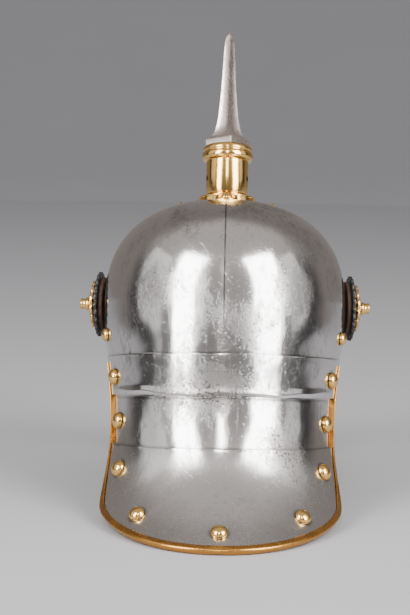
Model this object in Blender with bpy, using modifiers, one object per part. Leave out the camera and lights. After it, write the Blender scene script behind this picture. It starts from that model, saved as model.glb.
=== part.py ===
"""Steel helmet with a square spike, a neck guard of three plates, brass fittings and side cockades.

The helmet frame has +Z along the spike, +Y to the front and its zero on the spike's axis at ear level.
One empty carries every piece and pitches it forward until visor and tail stand on z = 0.
Sizes are in metres, angles round the helmet are in degrees from the rear.
"""

import math

import bmesh
import bpy
import numpy as np
from mathutils import Matrix, Vector

# Sheet and clearances
SHEET = 0.0012
GAP = 0.0003
LAP = 0.008
LAP_GAP = 0.0005

# Skull
SKULL_HALF_WIDTH = 0.0925
SKULL_REAR = 0.1085
SKULL_FRONT = 0.1070
EQUATOR_Z = 0.028
CROWN_RISE = 0.0825
CROWN_POWER = 2.5
CROWN_HOLE_R = 0.011
RIDGE_HEIGHT = 0.0008
EAR_Z = 0.002
BRIM_FRONT_Z = -0.021

# Neck guard
JOINT_Z = -0.0188
TAIL_Z = -0.1605
TAIL_REAR_FLARE = 0.0485
TAIL_SIDE_FLARE = 0.0327
TAIL_CORNER_Z = -0.117
TAIL_CORNER_POWER = 4.2

# Visor
VISOR_LENGTH = 0.066
VISOR_END_LENGTH = 0.010
VISOR_SLOPE = 41.0
VISOR_HALF_ANGLE = 68.0
VISOR_TAPER = 0.8
VISOR_SPLAY = 0.14
VISOR_RIVET_SPREAD = 0.68
VISOR_RIVET_UP = 0.56

# Brass edging
TRIM_WALL = 0.0008
TRIM_COVER = 0.0034
EDGE_GAP = 0.0004

# Rivets
RIVET_R = 0.0061
SKULL_RIVET_R = 0.0051
SMALL_RIVET_R = 0.0044
RIVET_RISE = 0.62
RIVET_DOME = (0, 32, 62, 90)
SHANK_R = 0.0015
SHANK_REACH = 0.0012
RIVET_SEAT = 0.0007
SKULL_RIVET_AHEAD = 1.6
SKULL_RIVET_UP = 0.0159
DRILL_DEPTH = 0.016

# Spike base and its four studs
ARM_REACH = 0.042
ARM_HALF_WIDTH = 0.0085
BASE_SHEET = 0.0013
BASE_SEAT = 0.0007
FLANGE_R = 0.022
FLANGE_RISE = 0.0072
FLANGE_DROP = 0.33
FLANGE_EDGE = 0.45
BASE_WAIST = 0.98
BASE_TURNS = (0.45, 0.82, 0.99, 1.3)
BASE_STEP = 0.0002
SPIGOT_HEIGHT = 0.007
STUD_INSET = 0.0075
STUD_CIRCLE_R = ARM_REACH - STUD_INSET
STUD_R = 0.0036
STUD_RISE = 0.0028

# Spike neck
NECK_R = 0.0161
NECK_WALL = 0.0013
NECK_HEIGHT = 0.0282
RING_R = 0.0198
RING_HEIGHT = 0.0125
RING_BORE_DEPTH = 0.45
NECK_HOLE_R = 0.0022
NECK_HOLE_SHARE = 0.48
NECK_HOLE_ANGLE = 75.0

# Spike
SPIKE_HEIGHT = 0.0868
PLINTH_HALF_DIAGONAL = 0.0174
PLINTH_HEIGHT = 0.0050
SPIKE_TURN = 36.0
STEM_R = 0.0070
STEM_LENGTH = 0.008

# Cockades
COCKADE_Y = 0.012
COCKADE_Z = 0.034
WASHER_R = 0.0210
WASHER_THICKNESS = 0.0027
COCKADE_R = 0.0252
COCKADE_DISH = 0.0042
COCKADE_SHEET = 0.0020
COCKADE_TEETH = 22
COCKADE_TOOTH = 0.0014
COCKADE_TOOTH_LIFT = 0.2
ROSETTE_R = 0.0184
ROSETTE_DISH = 0.0036
ROSETTE_SHEET = 0.0016
ROSETTE_LOBES = 12
ROSETTE_NOTCH = 0.93
ROSETTE_SINK = 0.55
BOSS_R = 0.0052
BOSS_LENGTH = 0.0063
POST_R = 0.0026
DISH_MIDDLE = 0.55
DISH_FALL = 0.74
DISH_RIM = 0.8

# Facets
SKULL_COLUMNS = 48
SKULL_ROW_FACETS = 12
CROWN_ROWS = 0.62
PLATE_COLUMNS = 26
PLATE_ROW_FACETS = {"upper": 2, "middle": 4, "lower": 8}
VISOR_COLUMNS = 26
VISOR_ROW_FACETS = 4
BAND_ROWS = 0.25
EDGING_STATIONS = 49
RIVET_FACETS = 8
HOLE_FACETS = 8
NECK_FACETS = 24
BOSS_FACETS = 14
SHARP_EDGE = 35.0

# Wall below the equator. level: 0 at the equator, 1 at the neck joint, 2 at the tail's edge.
# side and rear: growth of half width and rear reach, as shares of the two flares.
# edge: angle of the free edge.
WALL = (
    {"level": 0.00, "side": 0.000, "rear": 0.000, "edge": 78.0},
    {"level": 0.50, "side": -0.049, "rear": -0.014, "edge": 76.5},
    {"level": 1.00, "side": -0.145, "rear": -0.055, "edge": 73.8},
    {"level": 1.22, "side": -0.192, "rear": -0.125, "edge": 70.0},
    {"level": 1.48, "side": -0.086, "rear": -0.080, "edge": 64.2},
    {"level": 1.66, "side": 0.177, "rear": 0.110, "edge": 58.3},
    {"level": 1.84, "side": 0.578, "rear": 0.520, "edge": 50.5},
    {"level": 2.00, "side": 1.000, "rear": 1.000, "edge": 46.0},
)

# Plate joints, top to bottom. level as in WALL, rise: how much higher the joint is at the side.
JOINTS = (
    {"level": 1.00, "rise": 0.0074},
    {"level": 1.225, "rise": 0.0096},
    {"level": 1.483, "rise": 0.0090},
)

# Lower edge of the skull. share: 0 at ear level, 1 at the lapped rear edge or at the front brim.
RIM = (
    {"angle": 0, "share": 1.00},
    {"angle": 45, "share": 1.00},
    {"angle": 60, "share": 0.92},
    {"angle": 68, "share": 0.68},
    {"angle": 76, "share": 0.56},
    {"angle": 84, "share": 0.22},
    {"angle": 92, "share": 0.03},
    {"angle": 100, "share": 0.05},
    {"angle": 112, "share": 0.35},
    {"angle": 125, "share": 0.72},
    {"angle": 145, "share": 0.95},
    {"angle": 180, "share": 1.00},
)

# Rivets of the neck guard. across: share of the way from the middle to the free edge.
# down: share of the plate.
GUARD_RIVETS = (
    {"name": "rivet_upper", "plate": 0, "across": 0.890, "down": 0.55},
    {"name": "rivet_middle", "plate": 1, "across": 0.895, "down": 0.52},
    {"name": "rivet_lower", "plate": 2, "across": 0.830, "down": 0.31},
    {"name": "rivet_corner", "plate": 2, "across": 0.610, "down": 0.77},
    {"name": "rivet_tail", "plate": 2, "across": 0.000, "down": 0.84},
)

# Spike above its plinth. height: share of the spike, width: share of the plinth's half diagonal,
# hollow: how far the middle of a face is sunk, as a share of its own distance from the axis.
SPIKE = (
    {"height": 0.000, "width": 0.960, "hollow": 0.00},
    {"height": 0.022, "width": 0.790, "hollow": 0.07},
    {"height": 0.055, "width": 0.670, "hollow": 0.13},
    {"height": 0.105, "width": 0.560, "hollow": 0.17},
    {"height": 0.170, "width": 0.485, "hollow": 0.18},
    {"height": 0.310, "width": 0.400, "hollow": 0.18},
    {"height": 0.540, "width": 0.315, "hollow": 0.16},
    {"height": 0.760, "width": 0.255, "hollow": 0.13},
    {"height": 0.920, "width": 0.195, "hollow": 0.08},
    {"height": 0.980, "width": 0.120, "hollow": 0.00},
    {"height": 1.000, "width": 0.040, "hollow": 0.00},
)

# Ring at the top of the neck. width: share of the ring's radius, height: share of the ring's height.
NECK_RING = (
    {"width": 0.748, "height": 1.00},
    {"width": 0.940, "height": 0.86},
    {"width": 0.965, "height": 0.68},
    {"width": 0.930, "height": 0.60},
    {"width": 0.985, "height": 0.52},
    {"width": 1.000, "height": 0.34},
    {"width": 0.950, "height": 0.12},
)

# Boss in the middle of a rosette. width: share of the boss's radius, height: share of the boss's length.
BOSS = (
    {"width": 0.695, "height": 1.00},
    {"width": 0.808, "height": 0.86},
    {"width": 0.759, "height": 0.58},
    {"width": 1.000, "height": 0.16},
)

FINISHES = {
    "steel": {"colour": (0.62, 0.60, 0.58, 1), "roughness": 0.22, "metallic": 1.0},
    "brass": {"colour": (0.80, 0.56, 0.24, 1), "roughness": 0.25, "metallic": 1.0},
    "silver": {"colour": (0.76, 0.72, 0.69, 1), "roughness": 0.38, "metallic": 1.0},
    "black": {"colour": (0.012, 0.012, 0.013, 1), "roughness": 0.5, "metallic": 0.0},
    "leather": {"colour": (0.045, 0.022, 0.012, 1), "roughness": 0.75, "metallic": 0.0},
}

SIDES = (("left", -1), ("right", 1))


# Curves and surfaces of the helmet


def smooth(knots, values, x):
    """Smooth curve through a short table: cubic pieces with the slopes of the neighbouring rows."""
    if x <= knots[0]:
        return values[0]
    if x >= knots[-1]:
        return values[-1]
    slopes = np.gradient(values, knots)
    i = int(np.searchsorted(knots, x)) - 1
    span = knots[i + 1] - knots[i]
    s = (x - knots[i]) / span
    start = (1 + 2 * s) * (1 - s) ** 2 * values[i] + s * (1 - s) ** 2 * span * slopes[i]
    end = s * s * (3 - 2 * s) * values[i + 1] - s * s * (1 - s) * span * slopes[i + 1]
    return float(start + end)


def level_height(level):
    if level <= 1:
        return EQUATOR_Z + level * (JOINT_Z - EQUATOR_Z)
    return JOINT_Z + (level - 1) * (TAIL_Z - JOINT_Z)


WALL_HEIGHTS = np.array([level_height(row["level"]) for row in reversed(WALL)])
WALL_COLUMNS = {key: np.array([row[key] for row in reversed(WALL)]) for key in ("side", "rear", "edge")}
RIM_ANGLES = np.array([row["angle"] for row in RIM])
RIM_SHARES = np.array([row["share"] for row in RIM])


def wall_value(key, z):
    return smooth(WALL_HEIGHTS, WALL_COLUMNS[key], z)


def crown_share(z):
    """Width of the crown at a height, as a share of its width at the equator."""
    if z <= EQUATOR_Z:
        return 1.0
    rise = min((z - EQUATOR_Z) / CROWN_RISE, 1.0)
    return (1 - rise**CROWN_POWER) ** (1 / CROWN_POWER)


def crown_height(share):
    """Height at which the crown has narrowed to a share of its width at the equator."""
    return EQUATOR_Z + CROWN_RISE * (1 - share**CROWN_POWER) ** (1 / CROWN_POWER)


def half_width(z):
    return (SKULL_HALF_WIDTH + wall_value("side", z) * TAIL_SIDE_FLARE) * crown_share(z)


def reach(z, angle):
    """Half length of the helmet at a height, behind or in front of the spike's axis."""
    behind = SKULL_REAR + wall_value("rear", z) * TAIL_REAR_FLARE
    front = SKULL_FRONT + wall_value("rear", z) * TAIL_REAR_FLARE
    return (behind if math.cos(math.radians(angle)) > 0 else front) * crown_share(z)


def ridge(angle, z):
    """Medial ridge down the back of the skull, fading out above the neck joint."""
    across = max(0.0, 1 - abs(angle) / (360 / SKULL_COLUMNS))
    fade = min(1.0, max(0.0, (z - JOINT_Z) / (EQUATOR_Z - JOINT_Z)))
    return RIDGE_HEIGHT * across * fade * min(1.0, crown_share(z) * 2)


def wall_point(angle, z):
    a = math.radians(angle)
    return Vector((half_width(z) * math.sin(a), -reach(z, angle) * math.cos(a), z))


def surface_normal(point, u, v, step_u, step_v):
    """Normal of a surface, turned away from the spike's axis."""
    along_u = point(u + step_u, v) - point(u - step_u, v)
    along_v = point(u, v + step_v) - point(u, v - step_v)
    normal = along_u.cross(along_v)
    outward = point(u, v).to_2d().to_3d()
    return (normal if normal.dot(outward) > 0 else -normal).normalized()


def wall_normal(angle, z):
    return surface_normal(wall_point, angle, z, 0.2, 0.0002)


def on_wall(angle, z, lift=0.0):
    return wall_point(angle, z) + wall_normal(angle, z) * lift


def rim_height(angle):
    """Lower edge of the skull: lapped at the rear, arched over the ear, low at the front."""
    turn = abs((angle + 180) % 360 - 180)
    low = JOINT_Z - LAP if turn < 90 else BRIM_FRONT_Z
    return EAR_Z + smooth(RIM_ANGLES, RIM_SHARES, turn) * (low - EAR_Z)


def guard_angle(across, z):
    return across * wall_value("edge", z)


def joint_height(row, across):
    """Each joint lies in a plane that is higher at the sides."""
    z = level_height(row["level"])
    edge = math.radians(wall_value("edge", z))
    return z + row["rise"] * (1 - math.cos(across * edge)) / (1 - math.cos(edge))


VISOR_REACH = SKULL_FRONT + VISOR_LENGTH * math.cos(math.radians(VISOR_SLOPE))
VISOR_TIP_Z = BRIM_FRONT_Z - VISOR_LENGTH * math.sin(math.radians(VISOR_SLOPE))
TAIL_REACH = SKULL_REAR + TAIL_REAR_FLARE
REST_PITCH = math.atan2(VISOR_TIP_Z - TAIL_Z, VISOR_REACH + TAIL_REACH)


def table_height(across):
    """Where a line down the guard meets the plane that the helmet stands on."""
    z = TAIL_Z
    for _ in range(30):
        angle = guard_angle(across, z)
        behind = reach(z, angle) * math.cos(math.radians(angle))
        z = TAIL_Z + (TAIL_REACH - behind) * math.tan(REST_PITCH)
    return z


def tail_height(across):
    """Lower edge of the guard: flat on the table, with rounded corners."""
    round_off = (1 - min(abs(across), 1.0) ** TAIL_CORNER_POWER) ** (1 / TAIL_CORNER_POWER)
    return TAIL_CORNER_Z + (table_height(across) - TAIL_CORNER_Z) * round_off


def on_guard(across, z, lift=0.0):
    return on_wall(guard_angle(across, z), z, lift)


# Building blocks


def clear_scene():
    for item in list(bpy.data.objects):
        bpy.data.objects.remove(item, do_unlink=True)


def new_collection(name):
    collection = bpy.data.collections.new(name)
    bpy.context.scene.collection.children.link(collection)
    return collection


def new_material(name, finish):
    material = bpy.data.materials.new(name)
    material.use_nodes = True
    shader = material.node_tree.nodes["Principled BSDF"]
    shader.inputs["Base Color"].default_value = finish["colour"]
    shader.inputs["Roughness"].default_value = finish["roughness"]
    shader.inputs["Metallic"].default_value = finish["metallic"]
    return material


class Helmet:
    """The collections, the empty that carries the pieces, and one material of each finish."""

    def __init__(self):
        self.parts = new_collection("spiked_helmet")
        self.cutters = new_collection("cutters")
        self.frame = bpy.data.objects.new("helmet_frame", None)
        self.frame.rotation_euler.x = -REST_PITCH
        self.parts.objects.link(self.frame)

    def add(self, name, bm, finish, place=None):
        mesh = bpy.data.meshes.new(name)
        bm.to_mesh(mesh)
        bm.free()
        mesh.shade_smooth()
        mesh.set_sharp_from_angle(angle=math.radians(SHARP_EDGE))
        mesh.materials.append(new_material(name, FINISHES[finish]))
        piece = bpy.data.objects.new(name, mesh)
        piece.parent = self.frame
        if place is not None:
            piece.matrix_local = place
        self.parts.objects.link(piece)
        return piece

    def drill(self, piece, places, radius):
        """Cuts round holes through a piece along the Z of each place."""
        bm = bmesh.new()
        for place in places:
            bmesh.ops.create_cone(
                bm,
                cap_ends=True,
                segments=HOLE_FACETS,
                radius1=radius,
                radius2=radius,
                depth=DRILL_DEPTH,
                matrix=place,
            )
        mesh = bpy.data.meshes.new(piece.name + "_cutter")
        bm.to_mesh(mesh)
        bm.free()
        cutter = bpy.data.objects.new(piece.name + "_cutter", mesh)
        cutter.parent = self.frame
        cutter.hide_render = True
        cutter.display_type = "WIRE"
        self.cutters.objects.link(cutter)
        cut = piece.modifiers.new("holes", "BOOLEAN")
        cut.operation = "DIFFERENCE"
        cut.object = cutter


def place_on(point, normal):
    """A place whose Z stands on a surface."""
    turn = Vector((0, 0, 1)).rotation_difference(normal)
    return Matrix.Translation(point) @ turn.to_matrix().to_4x4()


def sheet_surface(columns, rows, point, closed=False):
    """A grid bent over a surface. point takes two shares from 0 to 1."""
    bm = bmesh.new()
    bmesh.ops.create_grid(bm, x_segments=columns, y_segments=rows, size=0.5)
    for vert in bm.verts:
        vert.co = point(vert.co.x + 0.5, vert.co.y + 0.5)
    if closed:
        bmesh.ops.remove_doubles(bm, verts=bm.verts, dist=0.000001)
    bm.normal_update()
    if sum(face.calc_center_median().to_2d().to_3d().dot(face.normal) for face in bm.faces) < 0:
        bmesh.ops.reverse_faces(bm, faces=bm.faces)
    return bm


def thicken(piece, thickness, offset):
    wall = piece.modifiers.new("wall", "SOLIDIFY")
    wall.thickness = thickness
    wall.offset = offset


def turned(profile, closed=False):
    """The outline of a turned piece, down its outer side."""
    bm = bmesh.new()
    verts = [bm.verts.new((r, 0, z)) for r, z in profile]
    for first, second in zip(verts, verts[1:] + verts[:1] if closed else verts[1:]):
        bm.edges.new((first, second))
    return bm


def turn(piece, steps):
    screw = piece.modifiers.new("turn", "SCREW")
    screw.steps = steps
    screw.render_steps = steps
    screw.use_merge_vertices = True
    screw.merge_threshold = 0.00001


def loft(sections, ring):
    """Skins sections of equal length. ring joins the last to the first, otherwise the ends are capped."""
    bm = bmesh.new()
    rows = [[bm.verts.new(p) for p in section] for section in sections]
    pairs = list(zip(rows, rows[1:])) + ([(rows[-1], rows[0])] if ring else [])
    for one, two in pairs:
        for i in range(len(one)):
            j = (i + 1) % len(one)
            bm.faces.new((one[i], one[j], two[j], two[i]))
    if not ring:
        bm.faces.new(list(reversed(rows[0])))
        bm.faces.new(rows[-1])
    bmesh.ops.recalc_face_normals(bm, faces=bm.faces)
    return bm


def polar(angle, r, z):
    a = math.radians(angle)
    return Vector((r * math.sin(a), -r * math.cos(a), z))


# Skull


def skull_point(around, down):
    """down runs first over the crown to the equator, then down the wall to the rim."""
    angle = 360 * around
    if down < CROWN_ROWS:
        start = math.asin((CROWN_HOLE_R / SKULL_HALF_WIDTH) ** (CROWN_POWER / 2))
        swing = start + (math.pi / 2 - start) * down / CROWN_ROWS
        z = EQUATOR_Z + CROWN_RISE * math.cos(swing) ** (2 / CROWN_POWER)
    else:
        z = EQUATOR_Z + (rim_height(angle) - EQUATOR_Z) * (down - CROWN_ROWS) / (1 - CROWN_ROWS)
    folded = min(angle, 360 - angle)
    return wall_point(angle, z) + wall_normal(angle, z) * ridge(folded, z)


def build_skull(helmet):
    bm = sheet_surface(SKULL_COLUMNS, SKULL_ROW_FACETS, skull_point, closed=True)
    skull = helmet.add("skull", bm, "steel")
    thicken(skull, SHEET, -1)
    places = [side_rivet_place(side) for _, side in SIDES] + visor_rivet_places() + stud_places()
    helmet.drill(skull, places, SHANK_R + GAP)
    helmet.drill(skull, [cockade_place(side) for _, side in SIDES], POST_R + GAP)


# Neck guard


def plate_span(index, across):
    """Top and bottom of a plate. The middle plate is tucked under both of its neighbours."""
    tops = [joint_height(row, across) for row in JOINTS]
    if index == 0:
        return tops[0], tops[1]
    if index == 1:
        return tops[1] + LAP, tops[2] - LAP
    return tops[2], tail_height(across)


def plate_lift(index):
    """Height of a plate's outer face above the skull's own surface."""
    return 0.0 if index == 1 else LAP_GAP + SHEET


def build_guard(helmet):
    for index, (name, rows) in enumerate(PLATE_ROW_FACETS.items()):

        def point(u, v):
            across = math.sin(math.pi / 2 * (2 * u - 1))
            top, bottom = plate_span(index, across)
            return on_guard(across, top + (bottom - top) * v, plate_lift(index))

        bm = sheet_surface(PLATE_COLUMNS, rows, point)
        plate = helmet.add("neck_plate_" + name, bm, "steel")
        thicken(plate, SHEET, -1)
        places = [rivet_place(row, side) for row, side in guard_rivets() if row["plate"] == index]
        helmet.drill(plate, places, SHANK_R + GAP)


# Visor


def visor_point(u, v):
    """A band lapped on the front of the skull, then the peak.

    v is 0 at the band's top, 1 at the peak's edge.
    """
    across = -math.cos(math.pi * u)
    angle = 180 + across * VISOR_HALF_ANGLE
    rim = rim_height(angle)
    if v < BAND_ROWS:
        return on_wall(angle, rim + LAP * (1 - v / BAND_ROWS), LAP_GAP)
    length = VISOR_END_LENGTH + (VISOR_LENGTH - VISOR_END_LENGTH) * (1 - across**2) ** VISOR_TAPER
    outward = (wall_normal(angle, rim) * Vector((VISOR_SPLAY, 1, 0))).normalized()
    slope = math.radians(VISOR_SLOPE)
    fall = outward * math.cos(slope) + Vector((0, 0, -math.sin(slope)))
    return on_wall(angle, rim, LAP_GAP) + fall * length * (v - BAND_ROWS) / (1 - BAND_ROWS)


def build_visor(helmet):
    bm = sheet_surface(VISOR_COLUMNS, VISOR_ROW_FACETS, visor_point)
    visor = helmet.add("visor", bm, "steel")
    thicken(visor, SHEET, 1)
    helmet.drill(visor, visor_rivet_places(), SHANK_R + GAP)


# Brass edging


def edging(stations, inner, outer):
    """A channel folded round a sheet's edge.

    Each station is a point on the edge, a direction into the sheet and the sheet's normal.
    inner and outer are the faces of what it holds, along the normal.
    """
    low, high = inner - GAP, outer + GAP
    middle = (low + high) / 2
    nose = -EDGE_GAP - 2 * TRIM_WALL
    shape = (
        (TRIM_COVER, high),
        (TRIM_COVER * 0.85, high + TRIM_WALL),
        (nose * 0.45, high + TRIM_WALL * 0.6),
        (nose, middle),
        (nose * 0.45, low - TRIM_WALL * 0.6),
        (TRIM_COVER * 0.85, low - TRIM_WALL),
        (TRIM_COVER, low),
        (-EDGE_GAP, low),
        (-EDGE_GAP, high),
    )
    sections = [[point + inward * a + normal * n for a, n in shape] for point, inward, normal in stations]
    return loft(sections, ring=False)


def stations_along(points, normals):
    """Turns an edge into stations, with the direction into the sheet square to the edge."""
    stations = []
    middle = sum(points, Vector()) / len(points)
    for i, (point, normal) in enumerate(zip(points, normals)):
        along = points[min(i + 1, len(points) - 1)] - points[max(i - 1, 0)]
        inward = normal.cross(along).normalized()
        stations.append((point, inward if inward.dot(middle - point) > 0 else -inward, normal))
    return stations


def evenly(places, count):
    """Picks places at even distances along a finely divided edge. A place is a point with its normal."""
    steps = [0.0]
    for one, two in zip(places, places[1:]):
        steps.append(steps[-1] + (two[0] - one[0]).length)
    picks = [int(np.argmin(np.abs(np.array(steps) - steps[-1] * i / (count - 1)))) for i in range(count)]
    return [places[i] for i in picks]


def guard_edge(top, fine=400):
    """The free edge of the guard, down one side, along the tail and up the other."""
    half = []
    for i in range(fine):
        z = top + (TAIL_CORNER_Z - top) * i / fine
        half.append((1.0, z))
    for i in range(fine + 1):
        swing = math.pi / 2 * i / fine
        across = math.cos(swing) ** (2 / TAIL_CORNER_POWER)
        half.append((across, tail_height(across)))
    path = half + [(-across, z) for across, z in reversed(half[:-1])]
    return [(on_guard(u, z), wall_normal(guard_angle(u, z), z)) for u, z in path]


def build_edging(helmet):
    edge_z = joint_height(JOINTS[0], 1)
    lowest_rim = min(rim_height(wall_value("edge", edge_z) - step) for step in (0, 1, 2, 3))
    places = evenly(guard_edge(min(edge_z, lowest_rim - 2 * GAP)), EDGING_STATIONS)
    stations = stations_along([p for p, _ in places], [n for _, n in places])
    helmet.add("neck_edging", edging(stations, -SHEET, LAP_GAP + SHEET), "brass")

    step = 0.002
    shares = [i / VISOR_COLUMNS for i in range(VISOR_COLUMNS + 1)]
    points = [visor_point(u, 1) for u in shares]
    normals = [surface_normal(visor_point, min(max(u, step), 1 - step), 1 - step, step, step) for u in shares]
    stations = stations_along(points, normals)
    helmet.add("visor_edging", edging(stations, 0, SHEET), "brass")


# Rivets


def rivet(helmet, name, radius, place, finish="brass", rise=RIVET_RISE, hold=2 * SHEET + LAP_GAP):
    """A domed head on a plain shank. hold is the thickness of what the shank passes through."""
    height = radius * rise
    bottom = -(RIVET_SEAT + hold + SHANK_REACH)
    dome = [(radius * math.sin(math.radians(a)), height * math.cos(math.radians(a))) for a in RIVET_DOME]
    profile = dome + [(SHANK_R, 0), (SHANK_R, bottom), (0, bottom)]
    piece = helmet.add(name, turned(profile), finish, place @ Matrix.Translation((0, 0, RIVET_SEAT)))
    turn(piece, RIVET_FACETS)


def rivet_place(row, side):
    across = row["across"] * side
    top, bottom = plate_span(row["plate"], across)
    z = top + (bottom - top) * row["down"]
    return place_on(on_guard(across, z, plate_lift(row["plate"])), wall_normal(guard_angle(across, z), z))


def guard_rivets():
    """Each row of the table once on each side, and the tail's only once."""
    return [(row, side) for row in GUARD_RIVETS for _, side in SIDES if row["across"] or side > 0]


def side_rivet_place(side):
    """The rivet on the skull, above the upper corner of the guard."""
    angle = side * (wall_value("edge", JOINT_Z) + SKULL_RIVET_AHEAD)
    z = joint_height(JOINTS[0], 1) + SKULL_RIVET_UP
    return place_on(on_wall(angle, z), wall_normal(angle, z))


def visor_rivet_places():
    """Three small rivets through the visor's band and the skull."""
    places = []
    for share in (-VISOR_RIVET_SPREAD, 0.0, VISOR_RIVET_SPREAD):
        angle = 180 + share * VISOR_HALF_ANGLE
        z = rim_height(angle) + LAP * VISOR_RIVET_UP
        places.append(place_on(on_wall(angle, z, LAP_GAP + SHEET), wall_normal(angle, z)))
    return places


def build_rivets(helmet):
    for row, side in guard_rivets():
        name = row["name"] + ("" if not row["across"] else "_left" if side < 0 else "_right")
        rivet(helmet, name, RIVET_R, rivet_place(row, side), hold=SHEET)
    for side_name, side in SIDES:
        rivet(helmet, "rivet_skull_" + side_name, SKULL_RIVET_R, side_rivet_place(side), hold=SHEET)
    for name, place in zip(("left", "middle", "right"), visor_rivet_places()):
        rivet(helmet, "visor_rivet_" + name, SMALL_RIVET_R, place)


# Spike and its brass neck


def crown_at(angle, r):
    """Height of the crown's outer face at a distance from the axis."""
    a = math.radians(angle)
    length = SKULL_REAR if math.cos(a) > 0 else SKULL_FRONT
    share = math.hypot(r * math.sin(a) / SKULL_HALF_WIDTH, r * math.cos(a) / length)
    return crown_height(share)


FLANGE_Z = crown_height(FLANGE_R / SKULL_HALF_WIDTH) + FLANGE_RISE
NECK_TOP_Z = FLANGE_Z + GAP + NECK_HEIGHT
PLINTH_Z = NECK_TOP_Z + RING_HEIGHT + GAP
SPIGOT_R = NECK_R - NECK_WALL - GAP


def base_outline(turn_from_arm):
    """Distance of the cross-shaped base's edge from the axis, at an angle from the middle of an arm."""
    a = math.radians(turn_from_arm)
    lobe = ARM_REACH - ARM_HALF_WIDTH
    inside = ARM_HALF_WIDTH**2 - (lobe * math.sin(a)) ** 2
    if inside >= 0:
        return max(FLANGE_R, lobe * math.cos(a) + math.sqrt(inside))
    return max(FLANGE_R, ARM_HALF_WIDTH / math.sin(abs(a)) * BASE_WAIST)


def base_section(angle, turn_from_arm):
    """Section of the base: seat on the crown, spigot in the neck, flange and arm."""
    edge = base_outline(turn_from_arm)
    middle = max((edge + FLANGE_R) / 2, FLANGE_R + BASE_STEP)
    edge = max(edge, middle + BASE_STEP)
    bore = CROWN_HOLE_R
    top = FLANGE_Z + SPIGOT_HEIGHT

    def seat(r, lift):
        return polar(angle, r, crown_at(angle, r) + BASE_SEAT + lift)

    return [
        seat(bore, 0),
        polar(angle, bore, top),
        polar(angle, SPIGOT_R, top),
        polar(angle, SPIGOT_R, FLANGE_Z),
        polar(angle, NECK_R, FLANGE_Z),
        polar(angle, (NECK_R * 2 + FLANGE_R) / 3, FLANGE_Z - FLANGE_RISE * FLANGE_DROP),
        polar(angle, FLANGE_R, FLANGE_Z - FLANGE_RISE * FLANGE_EDGE),
        seat(FLANGE_R, BASE_SHEET),
        seat(middle, BASE_SHEET),
        seat(edge, BASE_SHEET),
        seat(edge, 0),
        seat(middle, 0),
    ]


def build_spike_base(helmet):
    lobe = ARM_REACH - ARM_HALF_WIDTH
    widest = math.degrees(math.asin(ARM_HALF_WIDTH / lobe))
    half = [widest * share for share in BASE_TURNS]
    half.append((45 + half[-1]) / 2)
    turns = [-a for a in reversed(half)] + [0] + half + [45]
    sections = [base_section(90 * arm + a, a) for arm in range(4) for a in turns]
    base = helmet.add("spike_base", loft(sections, ring=True), "brass")
    helmet.drill(base, stud_places(), SHANK_R + GAP)


def stud_places():
    places = []
    for arm in range(4):
        angle = 90 * arm
        z = crown_at(angle, STUD_CIRCLE_R)
        normal = wall_normal(angle, z)
        places.append(place_on(polar(angle, STUD_CIRCLE_R, z) + normal * (BASE_SEAT + BASE_SHEET), normal))
    return places


def build_studs(helmet):
    hold = SHEET + BASE_SHEET + BASE_SEAT
    for name, place in zip(("rear", "right", "front", "left"), stud_places()):
        rivet(helmet, "base_stud_" + name, STUD_R, place, rise=STUD_RISE / STUD_R, hold=hold)


def build_neck(helmet):
    low = FLANGE_Z + GAP
    bore = STEM_R + GAP
    inner = NECK_R - NECK_WALL
    shoulder = NECK_TOP_Z + RING_HEIGHT * RING_BORE_DEPTH
    ring = [(RING_R * row["width"], NECK_TOP_Z + RING_HEIGHT * row["height"]) for row in NECK_RING]
    profile = ring + [
        (NECK_R, NECK_TOP_Z),
        (NECK_R, low),
        (inner, low),
        (inner, shoulder),
        (bore, shoulder),
        (bore, NECK_TOP_Z + RING_HEIGHT),
    ]
    neck = helmet.add("spike_neck", turned(profile, closed=True), "brass")
    turn(neck, NECK_FACETS)
    places = []
    for _, side in SIDES:
        angle = side * NECK_HOLE_ANGLE
        point = polar(angle, NECK_R, low + NECK_HEIGHT * NECK_HOLE_SHARE)
        places.append(place_on(point, polar(angle, 1, 0)))
    helmet.drill(neck, places, NECK_HOLE_R)


def build_spike(helmet):
    """Square spike with hollow faces on its plinth, and a round stem in the neck's bore."""
    top = PLINTH_Z + PLINTH_HEIGHT

    def section(z, half_diagonal, hollow, round_stem=False):
        points = []
        for i in range(8):
            sunk = half_diagonal * math.cos(math.pi / 4) * (1 - hollow)
            face = half_diagonal if round_stem or i % 2 else sunk
            points.append(polar(45 * i - SPIKE_TURN, face, z))
        return points

    sections = [section(PLINTH_Z - STEM_LENGTH, STEM_R, 0, True), section(PLINTH_Z, STEM_R, 0, True)]
    sections += [section(PLINTH_Z, PLINTH_HALF_DIAGONAL, 0), section(top, PLINTH_HALF_DIAGONAL, 0)]
    for row in SPIKE:
        z = top + row["height"] * SPIKE_HEIGHT
        sections.append(section(z, row["width"] * PLINTH_HALF_DIAGONAL, row["hollow"]))
    helmet.add("spike", loft(sections, ring=False), "silver")


# Cockades


def cockade_place(side):
    """On the side of the skull, its Z along the skull's own normal."""
    z = COCKADE_Z
    angle = 90 + math.degrees(math.asin(COCKADE_Y / reach(z, 91)))
    return place_on(on_wall(side * angle, z), wall_normal(side * angle, z))


WASHER_SEAT = 2 * GAP
COCKADE_SEAT = WASHER_SEAT + WASHER_THICKNESS + GAP
ROSETTE_SEAT = COCKADE_SEAT + COCKADE_DISH + COCKADE_SHEET + GAP - ROSETTE_DISH * ROSETTE_SINK
BOSS_SEAT = ROSETTE_SEAT + ROSETTE_DISH + ROSETTE_SHEET + GAP
BORE_R = POST_R + GAP


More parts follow.
